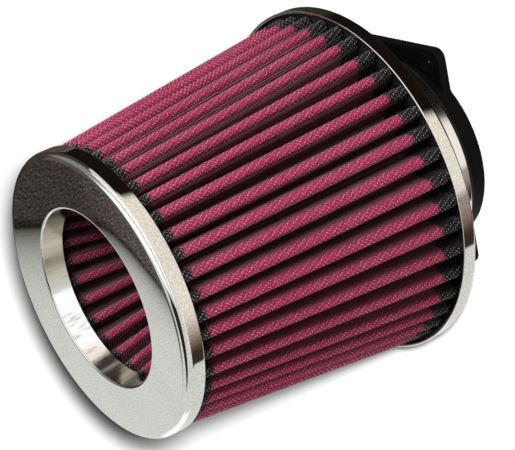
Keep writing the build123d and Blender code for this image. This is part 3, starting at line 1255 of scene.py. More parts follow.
@dataclass
class PleatPack:
    """Pleated sheet of gauze with its wire screen, ruled between a tight and a wide end.

    tight and wide are (tip radius, height). The fold's radius is the sheet and a share of the room beside
    it, and the flanks leave the folds at one angle along the whole pleat, as in the CAD model. Lifts of the
    wires are in radii of the wire, wander and bow in degrees, and spans in shares of the pleat's length.
    """

    name: str
    node: str
    count: int
    start: float
    depth: float
    facing: Facing
    fold_share: float
    tight: Pair
    wide: Pair
    shade_gains: Pair
    held_by: Sequence[str]
    lean: Sequence[tuple[float, float, float]] = ((0.0, 0.0, 0.0),)
    tilt: float = 0.0
    sheet: float = 1.1
    valley_width: float = 0.8
    wander: float = 0.22
    bow: float = 0.16
    bow_waves: float = 1.5
    fold_steps: int = 12
    flank_steps: int = 3
    fine_fold_steps: int = 24
    fine_flank_steps: int = 8
    levels: int = 25
    # Depth of painted shade given to the whole back face of the sheet
    back_gloom: float = 0.45
    wire: float = 0.10
    pitch: float = 1.05
    ring_fold_steps: int = 7
    ring_lift: float = 2.2
    ring_span: Pair = (0.006, 0.994)
    wire_levels: int = 7
    long_lift: float = 0.7
    long_span: Pair = (0.004, 0.996)
    # Painted highlight lines on the steep side's long wires: depths in the fold and strengths
    glint_line_depths: Sequence[float] = (0.12, 0.15, 0.24, 0.30)
    glint_line_shares: Sequence[float] = (0.0, 1.0, 0.8, 0.05)

    @property
    def sign(self) -> int:
        """1 where the folds point outwards, -1 where they point to the axis."""
        return self.facing.value

    def fold_radius(self, tip: np.ndarray) -> np.ndarray:
        """Outside radius of the round fold."""
        return self.sheet + self.fold_share * (np.pi * tip / self.count - self.sheet)

    def flank_turn(self) -> float:
        """Angle round the fold at which the flank leaves it, from the valley's floor at the tight end.

        Returns:
            The angle in radians.
        """
        tip, pitch = self.tight[0], np.pi / self.count
        floor = tip - self.sign * (self.depth - self.sheet)
        valley = floor * np.array([np.cos(pitch), np.sin(pitch)])
        valley += self.valley_width / 2 * np.array([np.sin(pitch), -np.cos(pitch)])
        radius = float(self.fold_radius(np.array(tip)))
        to_valley = valley - np.array([tip - self.sign * radius, 0.0])
        tangent = math.acos(radius / np.linalg.norm(to_valley))
        return math.atan2(to_valley[1], to_valley[0]) - self.sign * tangent

    def ends(self, share: np.ndarray) -> tuple[np.ndarray, np.ndarray]:
        """Tip radius and height at a share of the way from the tight to the wide end."""
        tip = self.tight[0] + share * (self.wide[0] - self.tight[0])
        height = self.tight[1] + share * (self.wide[1] - self.tight[1])
        return tip, height

    def section(
        self, share: np.ndarray, fold_steps: int, flank_steps: int, back: bool = False
    ) -> np.ndarray:
        """One pleat of the sheet's face, from valley to valley over the fold that lies along +X.

        The fold is an arc about its centre, and each flank is a straight line from the arc's end to the
        floor. The back face lies one sheet behind, with its fold drawn flat. Each point then shifts sideways
        by tilt times the root of its share of the depth, so that the first side stands steeper than the
        second.

        Args:
            share: Places along the pleat.
            fold_steps: Segments of the fold.
            flank_steps: Segments of each flank.
            back: Whether the face behind the sheet is wanted.

        Returns:
            Points as (place, point, xy).
        """
        tip, _ = self.ends(share)
        turn, pitch, sign = self.flank_turn(), np.pi / self.count, self.sign
        radius = self.fold_radius(tip)
        centre = np.stack([tip - sign * radius, np.zeros_like(tip)], axis=-1)
        start = -turn if sign > 0 else 2 * np.pi - turn
        angle = np.linspace(start, turn, fold_steps + 1)
        spokes = np.stack([np.cos(angle), np.sin(angle)], axis=-1)
        fold = centre[:, None] + radius[:, None, None] * spokes[None]
        flank = sign * np.array([-np.sin(turn), np.cos(turn)])
        outwards = np.array([np.cos(pitch), np.sin(pitch)])
        floor = tip - sign * (self.depth - self.sheet)
        if back:
            behind = fold[:, -1] - spokes[-1] * self.sheet
            crest = behind + flank * ((tip - sign * self.sheet - behind[:, 0]) / flank[0])[:, None]
            blend = np.linspace(0, 1, fold_steps + 1)[None, :, None]
            fold = crest[:, None] * np.array([1, -1]) * (1 - blend) + crest[:, None] * blend
            floor = floor - sign * self.sheet
        touch = fold[:, -1]
        valley = touch + flank * ((floor - touch @ outwards) / (flank @ outwards))[:, None]
        blend = np.linspace(0, 1, flank_steps + 1)[None, 1:, None]
        right = touch[:, None] * (1 - blend) + valley[:, None] * blend
        left = (right * np.array([1, -1]))[:, ::-1]
        even = np.concatenate([left, fold, right], axis=1)
        shift = self.tilt * np.sqrt(self.fold_depth(even, share))[..., None]
        return even + shift * np.array([0.0, 1.0])

    def normals(self, section: np.ndarray) -> np.ndarray:
        """Unit vectors in the plane of a section that point away from the sheet's face."""
        step = np.gradient(section, axis=1)
        step /= np.linalg.norm(step, axis=-1, keepdims=True)
        return self.sign * np.stack([step[..., 1], -step[..., 0]], axis=-1)

    def swing(self, share: np.ndarray) -> np.ndarray:
        """Angle of each pleat at each place: an even pitch, its lean, a small offset and a small bow.

        lean holds (angle, shift at the tight end, shift at the wide end), and is read between its entries.

        Args:
            share: Places along the pleat.

        Returns:
            Angles in radians, as (place, pleat).
        """
        draw = np.random.default_rng(SEED + self.count)
        offset = draw.normal(0, self.wander, self.count)
        bow = draw.normal(0, self.bow, self.count)
        phase = draw.uniform(0, np.pi, self.count)
        even = self.start + 360 / self.count * np.arange(self.count)
        angle, tight, wide = np.array(self.lean).T
        shift = [np.interp(even, angle, end, period=360) for end in (tight, wide)]
        leant = even + shift[0] * (1 - share[:, None]) + shift[1] * share[:, None]
        bent = leant + offset + bow * np.sin(np.pi * share[:, None] * self.bow_waves + phase)
        return np.radians(bent)

    def placed(self, flat: np.ndarray, share: np.ndarray) -> np.ndarray:
        """Turns one pleat's plane vectors to every pleat.

        Args:
            flat: Points or vectors as (place, point, xy).
            share: Their places along the pleat.

        Returns:
            The same as (place, pleat, point, xy).
        """
        angle = self.swing(share)[:, :, None]
        x, y = flat[:, None, :, 0], flat[:, None, :, 1]
        turned = [x * np.cos(angle) - y * np.sin(angle), x * np.sin(angle) + y * np.cos(angle)]
        return np.stack(turned, axis=-1)

    def lifted(self, flat: np.ndarray, share: np.ndarray) -> np.ndarray:
        """Points of every pleat at their height, as (place, pleat, point, xyz)."""
        turned, (_, height) = self.placed(flat, share), self.ends(share)
        rise = np.broadcast_to(height[:, None, None, None], (*turned.shape[:-1], 1))
        return np.concatenate([turned, rise], axis=-1)

    def level(self, flat: np.ndarray, share: np.ndarray) -> np.ndarray:
        """Vectors of every pleat without a height, as (place, pleat, point, xyz)."""
        turned = self.placed(flat, share)
        return np.concatenate([turned, np.zeros((*turned.shape[:-1], 1))], axis=-1)

    @staticmethod
    def by_wire(points: np.ndarray) -> np.ndarray:
        """Turns (place, pleat, point, xyz) into (wire, place, xyz)."""
        return points.reshape(len(points), -1, 3).transpose(1, 0, 2)

    def fold_depth(self, section: np.ndarray, share: np.ndarray) -> np.ndarray:
        """Share of the pleat's depth at each point of a section: 0 at the tip, 1 at the floor."""
        tip, _ = self.ends(share)
        depth = self.sign * (tip[:, None] - np.linalg.norm(section, axis=-1))
        return np.clip(depth / (self.depth - self.sheet), 0, 1)

    def gloom(self, section: np.ndarray, share: np.ndarray) -> np.ndarray:
        """Depth as the finishes shade it, times one gain on the first, steep side and one on the second."""
        depth = self.fold_depth(section, share)
        steep = np.arange(depth.shape[1]) < depth.shape[1] // 2
        return np.minimum(depth * np.where(steep, *self.shade_gains), 1.0)

    def cloth(self) -> Surface:
        """Both faces of the pleated sheet as one closed surface.

        Rows run down the face with the folds and back up the face behind it; columns run round the axis.

        Returns:
            The sheet, with its weave in millimetres and the depth that its painted shade is drawn from.
        """
        share = np.linspace(0, 1, self.levels)
        front = self.section(share, self.fold_steps, self.flank_steps)
        behind = self.section(share, self.fold_steps, self.flank_steps, back=True)
        columns = self.count * front.shape[1]
        rows = [self.lifted(flat, share).reshape(self.levels, columns, 3) for flat in (front, behind)]
        points = np.concatenate([rows[0], rows[1][::-1]])
        quads = grid_quads(2 * self.levels, columns, True, True)
        middle = points[self.levels // 2]
        step = np.linalg.norm(np.roll(middle, -1, axis=0) - middle, axis=1)
        across = np.concatenate([[0], np.cumsum(step)])
        height = self.ends(share)[1]
        down = np.concatenate([height, height[::-1], [self.tight[1]]])
        row, column = np.divmod(np.arange(len(quads)), columns)
        near, far, upper, lower = across[column], across[column + 1], down[row], down[row + 1]
        weave = quad_weave([near, near, far, far], [upper, lower, lower, upper])
        shade = np.tile(self.gloom(front, share), (1, self.count))
        depths = np.concatenate([shade, np.full_like(shade, self.back_gloom)])
        return Surface(points.reshape(-1, 3), quads, weave=weave, depths=depths.ravel())

    def flat_size(self) -> Pair:
        """Width and length of the sheet before it was folded, in metres.

        The width is that of one section and one valley half-way along, times the number of pleats, and the
        length is the slant from end to end.

        Returns:
            The width and the length.
        """
        step = np.diff(self.section(np.array([0.5]), self.fine_fold_steps, 1)[0], axis=0)
        width = float(np.linalg.norm(step, axis=-1).sum()) + self.valley_width
        return self.count * width * MM, math.dist(self.tight, self.wide) * MM

    def ring_wires(self, first: float, last: float) -> Surface:
        """Wires that follow the pleats round the axis, between two shares of the pleat's length.

        Args:
            first: Share at which the wires start.
            last: Share at which they end.

        Returns:
            Closed wires, with their knuckle count as weave and their depth.
        """
        rings = int(abs(self.wide[1] - self.tight[1]) * (last - first) / self.pitch)
        share = first + (last - first) * (np.arange(rings) + 0.5) / rings
        section = self.section(share, self.ring_fold_steps, 1)
        normal = self.normals(section)
        raised = section + normal * self.ring_lift * self.wire
        lines = self.lifted(raised, share).reshape(rings, -1, 3)
        across = self.level(normal, share).reshape(lines.shape)
        along = np.broadcast_to(np.array([0.0, 0.0, 1.0]), lines.shape)
        made = tubes(lines, across, along, self.wire, True)
        span = np.linalg.norm(np.roll(lines, -1, axis=1) - lines, axis=-1)
        count = np.concatenate([np.zeros((rings, 1)), np.cumsum(span, axis=1)], axis=1) / self.pitch
        ring, rest = np.divmod(np.arange(len(made.quads)), lines.shape[1] * WIRE_SIDES)
        point = rest // WIRE_SIDES
        near, far = count[ring, point], count[ring, point + 1]
        made.weave = quad_weave([near, far, far, near], [ring] * 4)
        depth = np.tile(self.gloom(section, share), (1, self.count))
        made.depths = np.repeat(depth.ravel(), WIRE_SIDES)
        return made

    def long_wires(self) -> Surface:
        """Wires that run along the pleats, at even steps of the sheet's width.

        Each is a line of the ruled face: points of equal share of the section's length, joined from end to
        end.

        Returns:
            Wires with closed ends, their knuckle count as weave, their depth, and where they carry painted
            highlight lines.
        """
        share = np.linspace(*self.long_span, self.wire_levels)
        section = self.section(share, self.fine_fold_steps, self.fine_flank_steps)
        normal = self.normals(section)
        section = section + normal * self.long_lift * self.wire
        step = np.linalg.norm(np.diff(section, axis=1), axis=-1)
        run = np.concatenate([np.zeros((len(share), 1)), np.cumsum(step, axis=1)], axis=1)
        number = int(run[-1, -1] / self.pitch)
        wanted = (np.arange(number) + 0.5) / number
        pick = np.stack([np.interp(wanted, reach / reach[-1], np.arange(len(reach))) for reach in run])
        low = np.minimum(pick.astype(int), section.shape[1] - 2)
        part = (pick - low)[..., None]
        place = np.arange(len(share))[:, None]
        flat = section[place, low] * (1 - part) + section[place, low + 1] * part
        facing = normal[place, low] * (1 - part) + normal[place, low + 1] * part
        facing /= np.linalg.norm(facing, axis=-1, keepdims=True)
        beside = np.stack([-facing[..., 1], facing[..., 0]], axis=-1)
        rise = self.wide[1] - self.tight[1]
        lines = self.by_wire(self.lifted(flat, share))
        across = self.by_wire(self.level(facing, share))
        along = self.by_wire(self.level(beside, share)) * -np.sign(rise)
        made = tubes(lines, across, along, self.wire, False)
        count = np.abs(share * rise) / self.pitch
        wire, rest = np.divmod(np.arange(len(made.quads)), (len(share) - 1) * WIRE_SIDES)
        near, far = count[rest // WIRE_SIDES], count[rest // WIRE_SIDES + 1]
        made.weave = quad_weave([near, far, far, near], [wire + 1.0] * 4)
        depth = np.tile(self.gloom(flat, share), (1, self.count)).T
        steep = np.tile(wanted < 0.5, self.count)[:, None]
        glint_line = steep * np.interp(depth, self.glint_line_depths, self.glint_line_shares)
        made.depths, made.glint_line = [np.repeat(marks.ravel(), WIRE_SIDES) for marks in (depth, glint_line)]
        return made

    def build(
        self,
        cloth: bpy.types.Material,
        ring_wire: bpy.types.Material,
        long_wire: bpy.types.Material,
        ring_parts: int,
    ) -> None:
        """Makes the sheet and its screen.

        Args:
            cloth: Finish of the gauze.
            ring_wire: Finish of the wires round the axis.
            long_wire: Finish of the wires along the pleats.
            ring_parts: Number of pieces that the wires round the axis are split into.
        """
        title = f"{self.name}_gauze"
        mesh = self.cloth().mesh(title)
        gauze = finish_piece(title, mesh, cloth, [self.node], sharp_from=None)
        bounds = np.linspace(*self.ring_span, ring_parts + 1)
        screen = [
            (f"{self.name}_rings_{part}", self.ring_wires(bounds[part], bounds[part + 1]), ring_wire)
            for part in range(ring_parts)
        ]
        screen.append((f"{self.name}_long_wires", self.long_wires(), long_wire))
        wires = [
            finish_piece(title, surface.mesh(title), finish, sharp_from=None)
            for title, surface, finish in screen
        ]
        self.flat_size()


# Studio


def pose(axes: np.ndarray, place: np.ndarray) -> Matrix:
    """World matrix of three axes as columns and a place in metres."""
    matrix = np.eye(4)
    matrix[:3, :3], matrix[:3, 3] = axes, place
    return Matrix(matrix.tolist())


@dataclass
class Camera:
    """Camera of the photograph: where it stands round the aim point, its roll and its lens."""

    aim: tuple[float, float, float] = (-0.956, -0.495, 88.214)
    azimuth: float = -64.4157
    elevation: float = 29.4874
    roll: float = -115.3042
    distance: float = 840.7
    lens: float = 144.58
    sensor: float = 36.0
    clip: Pair = (0.05, 50.0)

    def axes(self) -> np.ndarray:
        """Camera's right, up and back as columns.

        Back points from the aim to the camera. Right is level before the roll turns it about back.

        Returns:
            A turn matrix of three by three.
        """
        az, el, roll = np.radians([self.azimuth, self.elevation, self.roll])
        back = np.array([np.cos(el) * np.cos(az), np.cos(el) * np.sin(az), np.sin(el)])
        level = np.cross([0, 0, 1], back)
        level /= np.linalg.norm(level)
        rise = np.cross(back, level)
        right = np.cos(roll) * level + np.sin(roll) * rise
        return np.column_stack([right, np.cross(back, right), back])

    def seen(self, right: float, up: float, back: float) -> np.ndarray:
        """Point given by its distances from the aim along the camera's axes, in metres."""
        return np.array(self.aim) * MM + self.axes() @ np.array([right, up, back])

    def build(self) -> None:
        """Makes the camera and sets it."""
        data = bpy.data.cameras.new("photo_camera")
        data.lens = self.lens
        data.sensor_width = self.sensor
        data.clip_start, data.clip_end = self.clip
        made = bpy.data.objects.new("photo_camera", data)
        bpy.context.scene.collection.objects.link(made)
        made.matrix_world = pose(self.axes(), self.seen(0, 0, self.distance * MM))
        bpy.context.scene.camera = made


@dataclass(frozen=True)
class SoftBox:
    """Area lamp, placed as the camera sees it, turned to the object and hidden from mirrors.

    seen is its place from the aim along the camera's right, up and back, and size its width and height, both
    in metres.
    """

    name: str
    seen: tuple[float, float, float]
    size: Pair
    power: float

    def build(self, camera: Camera) -> bpy.types.Object:
        """Makes the lamp.

        Args:
            camera: The camera whose axes place the lamp.

        Returns:
            The lamp's object.
        """
        data = bpy.data.lights.new(self.name, "AREA")
        data.shape = "RECTANGLE"
        data.size, data.size_y = self.size
        data.energy = self.power
        made = bpy.data.objects.new(self.name, data)
        bpy.context.scene.collection.objects.link(made)
        place = camera.seen(*self.seen)
        out = place - camera.seen(0, 0, 0)
        out /= np.linalg.norm(out)
        side = np.cross(camera.axes()[:, 1], out)
        side /= np.linalg.norm(side)
        made.matrix_world = pose(np.column_stack([side, np.cross(out, side), out]), place)
        made.visible_glossy = False
        return made


@dataclass(frozen=True)
class Span:
    """Stretch between two angles in degrees, with soft edges outside it."""

    low: float
    high: float
    soft: float = 4.0

    def at(self, angle: Value) -> Value:
        """1 between the two angles, and 0 past the soft edges."""
        return angle.step(self.low - self.soft, self.low) * angle.step(self.high + self.soft, self.high)


@dataclass(frozen=True)
class Sight:
    """Direction of a mirrored ray: its vector, its azimuth from +X and its elevation, in degrees."""

    sheet: NodeSheet
    vector: Value
    azimuth: Value
    elevation: Value


@dataclass(frozen=True)
class FaceCard:
    """Dark woven card that the flat front face mirrors, with a dusky glow beside it.

    The card ends at a line through line_place, an azimuth and an elevation, which climbs by line_slope and
    bends off above bend_from. Above lighter_from the card grows lighter, and above blur_from its edge softer.
    """

    tint: Colour = (0.075, 0.062, 0.058)
    dusk: Colour = (0.035, 0.036, 0.020)
    sides: Span = Span(30.0, 137.0)
    heights: Span = Span(-8.0, 56.0)
    line_place: Pair = (112.55, 23.3)
    line_slope: float = 0.45
    bend_from: float = 25.4
    bend_gain: float = 2.6
    bend_most: float = 4.5
    glow_rate: float = 0.85
    glow_gain: float = 0.97
    glow_least: float = 0.03
    thread_lean: Pair = (0.70, 0.62)
    thread_scale: float = 42.0
    cross_lean: Pair = (0.56, 0.78)
    cross_scale: float = 12.0
    thread_gain: float = 3.4
    thread_middle: float = 0.74
    thread_least: float = 0.15
    inside_range: Pair = (0.05, 0.45)
    inside_least: float = 0.35
    lighter_from: float = 25.3
    lighter_most: float = 2.2
    blur: float = 0.05
    blur_from: float = 25.2
    blur_gain: float = 0.10

    def weave(self, sight: Sight) -> Value:
        """Noise drawn out along the card's threads, from 0 to 1."""
        azimuth, elevation = sight.azimuth, sight.elevation
        across = (azimuth * self.thread_lean[0] + elevation * self.thread_lean[1]) * self.thread_scale
        beside = (elevation * self.cross_lean[1] - azimuth * self.cross_lean[0]) * self.cross_scale
        drawn = sight.sheet.node("ShaderNodeCombineXYZ", {}, {0: across, 1: beside})
        return sight.sheet.noise(drawn, 1.0, detail=0.0)

    def over(self, sight: Sight, tent: Value) -> Value:
        """Lays the glow and the card over the tent.

        The glow falls off exponentially past the line, and the card's tint is weighted by its weave.

        Args:
            sight: Direction of the ray.
            tent: Colour of the tent without the card.

        Returns:
            The colour with the card.
        """
        sheet, azimuth, elevation = sight.sheet, sight.azimuth, sight.elevation
        bend = (elevation - self.bend_from).most(0.0)
        line = self.line_place[0] + (elevation - self.line_place[1]) * self.line_slope
        past = azimuth - (line + (bend * bend * self.bend_gain).least(self.bend_most))
        glow = (1.0 - (past * -self.glow_rate).apply("EXPONENT") * self.glow_gain).most(self.glow_least)
        card = self.heights.at(elevation) * self.sides.at(azimuth)
        tent = sheet.mix(card * (1.0 - glow), tent, self.dusk)
        woven = ((self.weave(sight) - 0.5) * self.thread_gain + self.thread_middle).most(self.thread_least)
        inside = (0.0 - past).step(*self.inside_range) * (1 - self.inside_least) + self.inside_least
        lighter = ((elevation - self.lighter_from).most(0.0) + 1.0).least(self.lighter_most)
        blur = self.blur + (elevation - self.blur_from).most(0.0) * self.blur_gain
        shown = card * (past / blur).step(1.0, -1.0)
        return sheet.mix(shown, tent, sheet.scaled(self.tint, woven * inside * lighter))


@dataclass(frozen=True)
class Surround:
    """What the chrome mirrors: a pale tent with white lamp panels, dark cards and a cream floor side.

    Directions are azimuths from +X and elevations, in degrees. Spans have soft edges, and the pairs of angles
    are those between which a smooth step runs. What lies below sunk_from leans round with its depth.
    """

    pale: Colour = (0.77, 0.785, 0.745)
    cream: Colour = (0.96, 0.88, 0.77)
    white: Colour = (1.35, 1.33, 1.34)
    black: Colour = (0.010, 0.007, 0.006)
    brown: Colour = (0.20, 0.16, 0.14)
    olive: Colour = (0.10, 0.075, 0.042)
    rust: Colour = (0.34, 0.24, 0.18)
    shade: Colour = (0.030, 0.020, 0.015)
    dusk: Colour = (0.035, 0.036, 0.020)
    card: FaceCard = FaceCard()
    # Crumpled cream paper on the floor side
    cream_sides: Span = Span(-126.0, 6.0)
    cream_top: Pair = (4.0, -4.0)
    crumple_scale: float = 14.0
    crumple_range: Pair = (0.35, 0.7)
    crumple_gain: float = 0.06
    crumple_least: float = 0.98
    # Dark floor that the skirts mirror at the right and behind
    floor_top: Pair = (-4.0, -12.0)
    olive_sides: Span = Span(76.0, 112.0, 9.0)
    olive_foot: Pair = (-31.0, -28.0)
    sunk_from: float = -26.0
    black_start: Pair = (-6.0, 2.0)
    black_lean: float = 5.2
    black_end: Pair = (78.0, 68.0)
    behind_sides: Span = Span(60.0, 122.0, 10.0)
    behind_top: Pair = (-30.0, -33.0)
    # Brown patches that the skirts mirror at the left
    brown_sides: Span = Span(-126.0, -108.0, 8.0)
    brown_top: Pair = (-28.0, -33.0)
    cloud_scale: float = 9.0
    cloud_gain: float = 0.8
    cloud_least: float = 0.4
    patch_lean: float = 0.5
    patch_end: Pair = (-146.0, -143.0)
    patch_top: Pair = (-14.0, -20.0)
    rust_start: Pair = (-100.0, -128.0)
    shade_start: Pair = (-118.0, -137.0)
    shade_share: float = 0.95
    # Dark cards that the front cap's rim mirrors
    rim_flag_sides: Span = Span(99.0, 110.5, 2.0)
    rim_flag_heights: Span = Span(-32.0, 16.0, 3.0)
    rim_card_sides: Span = Span(172.0, 258.0, 5.0)
    rim_card_heights: Span = Span(42.0, 76.0, 3.0)
    # Lamps: a faint sheen, two bands in front and one panel at the side
    sheen_sides: Span = Span(34.0, 74.0, 8.0)
    sheen_heights: Span = Span(18.0, 46.0, 6.0)
    sheen_share: float = 0.25
    lamp_sides: Span = Span(-88.0, 78.0, 6.0)
    sill: Pair = (-1.0, 3.0)
    sill_left: float = -30.0
    sill_left_slope: float = 0.35
    sill_right: float = -15.0
    sill_right_slope: float = 0.6
    low_band_top: Pair = (34.0, 27.0)
    high_band_foot: Pair = (44.0, 58.0)
    side_lamp_sides: Span = Span(143.0, 172.0, 5.0)
    side_lamp_heights: Span = Span(-18.0, 16.0)

    def floor_side(self, sight: Sight) -> Value:
        """Tent and all that lies low in it: cream paper, dark floor and brown patches.

        Args:
            sight: Direction of the ray.

        Returns:
            The colour, patch over patch.
        """
        sheet, azimuth, elevation = sight.sheet, sight.azimuth, sight.elevation
        crumple = sheet.noise(sight.vector, self.crumple_scale, detail=4.0, roughness=0.6)
        crumple = crumple.step(*self.crumple_range) * self.crumple_gain + self.crumple_least
        cream = self.cream_sides.at(azimuth) * elevation.step(*self.cream_top)
        tent = sheet.mix(cream, self.pale, sheet.scaled(self.cream, crumple))
        floor = elevation.step(*self.floor_top)
        olive = self.olive_sides.at(azimuth) * floor * elevation.step(*self.olive_foot)
        tent = sheet.mix(olive, tent, self.olive)
        sunk = (self.sunk_from - elevation).most(0.0)
        start = (azimuth + sunk * self.black_lean).step(*self.black_start)
        tent = sheet.mix(start * azimuth.step(*self.black_end) * floor, tent, self.black)
        behind = self.behind_sides.at(azimuth) * elevation.step(*self.behind_top)
        tent = sheet.mix(behind, tent, self.dusk)
        cloud = sheet.noise(sight.vector, self.cloud_scale, detail=3.0)
        cloud = cloud * self.cloud_gain + self.cloud_least
        brown = self.brown_sides.at(azimuth) * elevation.step(*self.brown_top) * cloud
        tent = sheet.mix(brown, tent, self.brown)
        leant = azimuth - sunk * self.patch_lean
        patch = leant.step(*self.patch_end) * elevation.step(*self.patch_top)
        tent = sheet.mix(leant.step(*self.rust_start) * patch, tent, self.rust)
        return sheet.mix(leant.step(*self.shade_start) * patch * self.shade_share, tent, self.shade)

    def rim(self, sight: Sight, tent: Value) -> Value:
        """Lays the dark cards of the rim over the tent.

        Args:
            sight: Direction of the ray.
            tent: Colour of the tent without them.

        Returns:
            The colour with them.
        """
        flag = self.rim_flag_sides.at(sight.azimuth) * self.rim_flag_heights.at(sight.elevation)
        turn = ((sight.azimuth + 360.0) / 360.0).apply("FRACT") * 360.0
        card = self.rim_card_sides.at(turn) * self.rim_card_heights.at(sight.elevation)
        return sight.sheet.mix(flag.most(card), tent, self.shade)

    def lamps(self, sight: Sight, tent: Value) -> Value:
        """Lays the lamps over the tent; the lower band's sill climbs to both sides.

        Args:
            sight: Direction of the ray.
            tent: Colour of the tent without them.

        Returns:
            The colour with them.
        """
        sheet, azimuth, elevation = sight.sheet, sight.azimuth, sight.elevation
        sheen = self.sheen_sides.at(azimuth) * self.sheen_heights.at(elevation)
        tent = sheet.mix(sheen * self.sheen_share, tent, self.pale)
        left = (self.sill_left - azimuth).most(0.0) * self.sill_left_slope
        right = (azimuth - self.sill_right).most(0.0) * self.sill_right_slope
        low_band = (elevation - left - right).step(*self.sill) * elevation.step(*self.low_band_top)
        bands = low_band.most(elevation.step(*self.high_band_foot))
        tent = sheet.mix(self.lamp_sides.at(azimuth) * bands, tent, self.white)
        side_lamp = self.side_lamp_sides.at(azimuth) * self.side_lamp_heights.at(elevation)
        return sheet.mix(side_lamp, tent, self.white)

    def colour(self, sheet: NodeSheet) -> Value:
        """Colour of the tent in each direction.

        Args:
            sheet: The world's node tree.

        Returns:
            The colour, panel over panel.
        """
        way = sheet.node("ShaderNodeTexCoord", output="Generated")
        elevation = sheet.axis(way, 2).apply("ARCSINE") * DEGREES
        sight = Sight(sheet, way, sheet.azimuth(way), elevation)
        tent = self.card.over(sight, self.floor_side(sight))
        return self.lamps(sight, self.rim(sight, tent))


@dataclass
class Studio:
    """White floor, soft lamps and a surround."""

    camera: Camera
    surround: Surround = Surround()
    boxes: Sequence[SoftBox] = (
        SoftBox("lamp_above", seen=(-0.25, 0.85, 0.75), size=(0.7, 0.5), power=8.0),
        SoftBox("lamp_front", seen=(-0.35, 0.36, 0.85), size=(0.4, 0.3), power=6.0),
        SoftBox("lamp_left", seen=(-0.9, 0.1, 0.7), size=(0.5, 0.8), power=9.0),
        SoftBox("lamp_low", seen=(0.45, -0.6, 0.3), size=(0.4, 0.2), power=6.0),
    )
    fill: float = 0.34
    flag_way: tuple[float, float, float] = (-0.663, -0.383, 0.643)
    flag_range: Pair = (0.2, 0.75)
    flag_share: float = 0.95
    shadow_lamps: Sequence[tuple[float, float, float]] = ((0.012, 0.007, 0.84), (0.002, 0.022, 0.84))
    shadow_lamp_size: float = 0.024
    shadow_lamp_power: float = 95.0
    floor_tone: float = 0.36
    floor_tone_reach: float = 1.46
    floor_tone_most: float = 0.9
    floor_roughness: float = 0.9
    floor_half: float = 6.0
    floor_z: float = -0.25
    white_reach: Pair = (0.9, 1.5)

    def lamps(self, floor: bpy.types.Object) -> None:
        """Makes the lamps above, in front, at the left and low at the right; none lights the floor."""
        others = bpy.data.collections.new("all_but_floor")
        others.objects.link(floor)
        others.collection_objects[0].light_linking.link_state = "EXCLUDE"
        for box in self.boxes:
            box.build(self.camera).light_linking.receiver_collection = others

    def floor(self) -> bpy.types.Object:
        """Makes the floor: lit near the object, where the shadow lies, and plain white further off.

        Its tone grows with the cube of the distance to the lamps beside the lens, which then light it
        evenly.

        Returns:
            The floor's object.
        """
        side = self.floor_half / MM
        corner = np.array([[-side, -side], [side, -side], [side, side], [-side, side]])
        flat = np.column_stack([corner, np.full(4, self.floor_z)])
        mesh = Surface(flat, np.array([[0, 1, 2, 3]])).mesh("floor")
        material = bpy.data.materials.new("floor_paper")
        material.use_nodes = True
        sheet = NodeSheet(material.node_tree)
        place = sheet.node("ShaderNodeTexCoord", output="Object")
        reach = sheet.vector("LENGTH", place, output="Value")
        glow = self.direct(sheet) * reach.step(*self.white_reach)
        lamp = tuple(self.camera.seen(*np.mean(self.shadow_lamps, axis=0)))
        away = sheet.vector("DISTANCE", place, lamp, output="Value")
        tone = ((away / self.floor_tone_reach) ** 3.0 * self.floor_tone).least(self.floor_tone_most)
        inputs = {
            "Base Color": sheet.mix(tone, (0.0, 0.0, 0.0), (1.0, 1.0, 1.0)),
            "Roughness": self.floor_roughness,
            "Specular IOR Level": 0.0,
            "Emission Color": sheet.mix(glow, (0.0, 0.0, 0.0), (1.0, 1.0, 1.0)),
            "Emission Strength": 1.0,
        }
        shader = sheet.node("ShaderNodeBsdfPrincipled", {}, inputs)
        sheet.node("ShaderNodeOutputMaterial", {}, {"Surface": shader})
        mesh.materials.append(material)
        made = bpy.data.objects.new("floor", mesh)
        bpy.context.scene.collection.objects.link(made)
        made.visible_glossy = False
        made.visible_diffuse = False
        return made

    @staticmethod
    def direct(sheet: NodeSheet) -> Value:
        """1 for rays from the camera and for mirror and glass rays, else 0."""
        kinds = ("Is Camera Ray", "Is Glossy Ray", "Is Transmission Ray")
        camera, glossy, clear = [sheet.node("ShaderNodeLightPath", output=kind) for kind in kinds]
        return camera.most(glossy).most(clear)

    def floor_lamps(self, floor: bpy.types.Object) -> None:
        """Makes the small lamps beside the lens that light only the floor, and so draw the shadow."""
        only = bpy.data.collections.new("floor_only")
        only.objects.link(floor)
        size = (self.shadow_lamp_size, self.shadow_lamp_size)
        for number, place in enumerate(self.shadow_lamps):
            lamp = SoftBox(f"lamp_floor_{number}", place, size, self.shadow_lamp_power)
            lamp.build(self.camera).light_linking.receiver_collection = only

    def world(self) -> None:
        """Makes the surround: white to the camera, the tent in mirrors, a soft fill to everything else."""
        world = bpy.data.worlds.new("surround")
        world.use_nodes = True
        bpy.context.scene.world = world
        sheet = NodeSheet(world.node_tree)
        glossy = sheet.node("ShaderNodeLightPath", output="Is Glossy Ray")
        seen = self.direct(sheet)
        colour = sheet.mix(glossy, (1.0, 1.0, 1.0), self.surround.colour(sheet))
        way = sheet.node("ShaderNodeTexCoord", output="Generated")
        near = sheet.vector("DOT_PRODUCT", way, self.flag_way, output="Value")
        flagged = 1.0 - near.step(*self.flag_range) * self.flag_share
        light = sheet.scaled(colour, seen + (1.0 - seen) * self.fill * flagged)
        shader = sheet.node("ShaderNodeBackground", {}, {"Color": light, "Strength": 1.0})
        sheet.node("ShaderNodeOutputWorld", {}, {"Surface": shader})

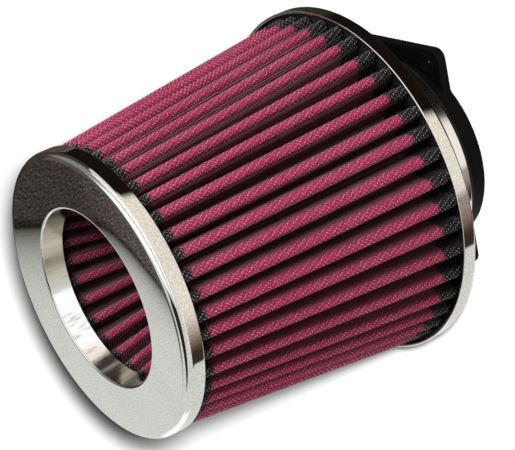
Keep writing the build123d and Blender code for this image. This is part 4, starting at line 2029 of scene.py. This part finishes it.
    def build(self) -> None:
        """Makes floor, lamps and surround."""
        floor = self.floor()
        self.floor_lamps(floor)
        self.lamps(floor)
        self.world()
        bpy.context.scene.view_settings.view_transform = "Standard"


def dress_node(node: bpy.types.Object, material: bpy.types.Material) -> None:
    """Gives a CAD node that stays on show its finish."""
    node.data.materials.clear()
    node.data.materials.append(material)


def main() -> None:
    """Builds the filter's pieces in order and sets up the studio."""
    logging.basicConfig(level=logging.INFO, format="%(name)s %(message)s")
    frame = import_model()

    chrome = Chrome("cap_chrome").material()
    steel = BrightSteel("clamp_steel").material()
    gauze = OiledCotton("oiled_gauze").material()
    inner_gauze = OiledCotton("oiled_gauze_inner", dry_low=99.0, dry_high=154.8, edge=1.6).material()
    ring_wire = ScreenWire("screen_wire").material()
    long_wire = ScreenWire("screen_long_wire", edge_line=1.0).material()
    rubber = CastRubber("cast_polyurethane").material()
    plastic = MouldedPlastic("moulded_plastic").material()

    FrontCap().build(chrome)
    RearCap().build(chrome)
    Base().build(rubber)
    TipCap().build(rubber)
    Clamp().build(steel)
    Adapter().build(plastic)
    outer = PleatPack(
        name="outer",
        node="outer_pleats",
        count=44,
        start=2.6,
        depth=11.0,
        facing=Facing.OUTWARDS,
        fold_share=0.26,
        tight=(58.8, 161.7),
        wide=(72.4, 40.7),
        shade_gains=(0.6, 1.4),
        held_by=("base_cast", "front_potting"),
        lean=OUTER_LEAN,
        tilt=0.5,
    )
    outer.build(gauze, ring_wire, long_wire, ring_parts=2)
    inner = PleatPack(
        name="inner",
        node="inner_pleats",
        count=27,
        start=7.3,
        depth=8.617,
        facing=Facing.INWARDS,
        fold_share=0.22,
        tight=(19.0, 95.7),
        wide=(38.483, 161.7),
        shade_gains=(1.5, 1.5),
        held_by=("tip_cap_cast", "front_potting"),
    )
    inner.build(inner_gauze, ring_wire, long_wire, ring_parts=1)
    for name, material in (("front_potting", rubber), ("clamp_housing", steel), ("clamp_screw", steel)):
        dress_node(frame["nodes"][name], material)

    camera = Camera()
    camera.build()
    Studio(camera).build()


if __name__ == "__main__":
    main()
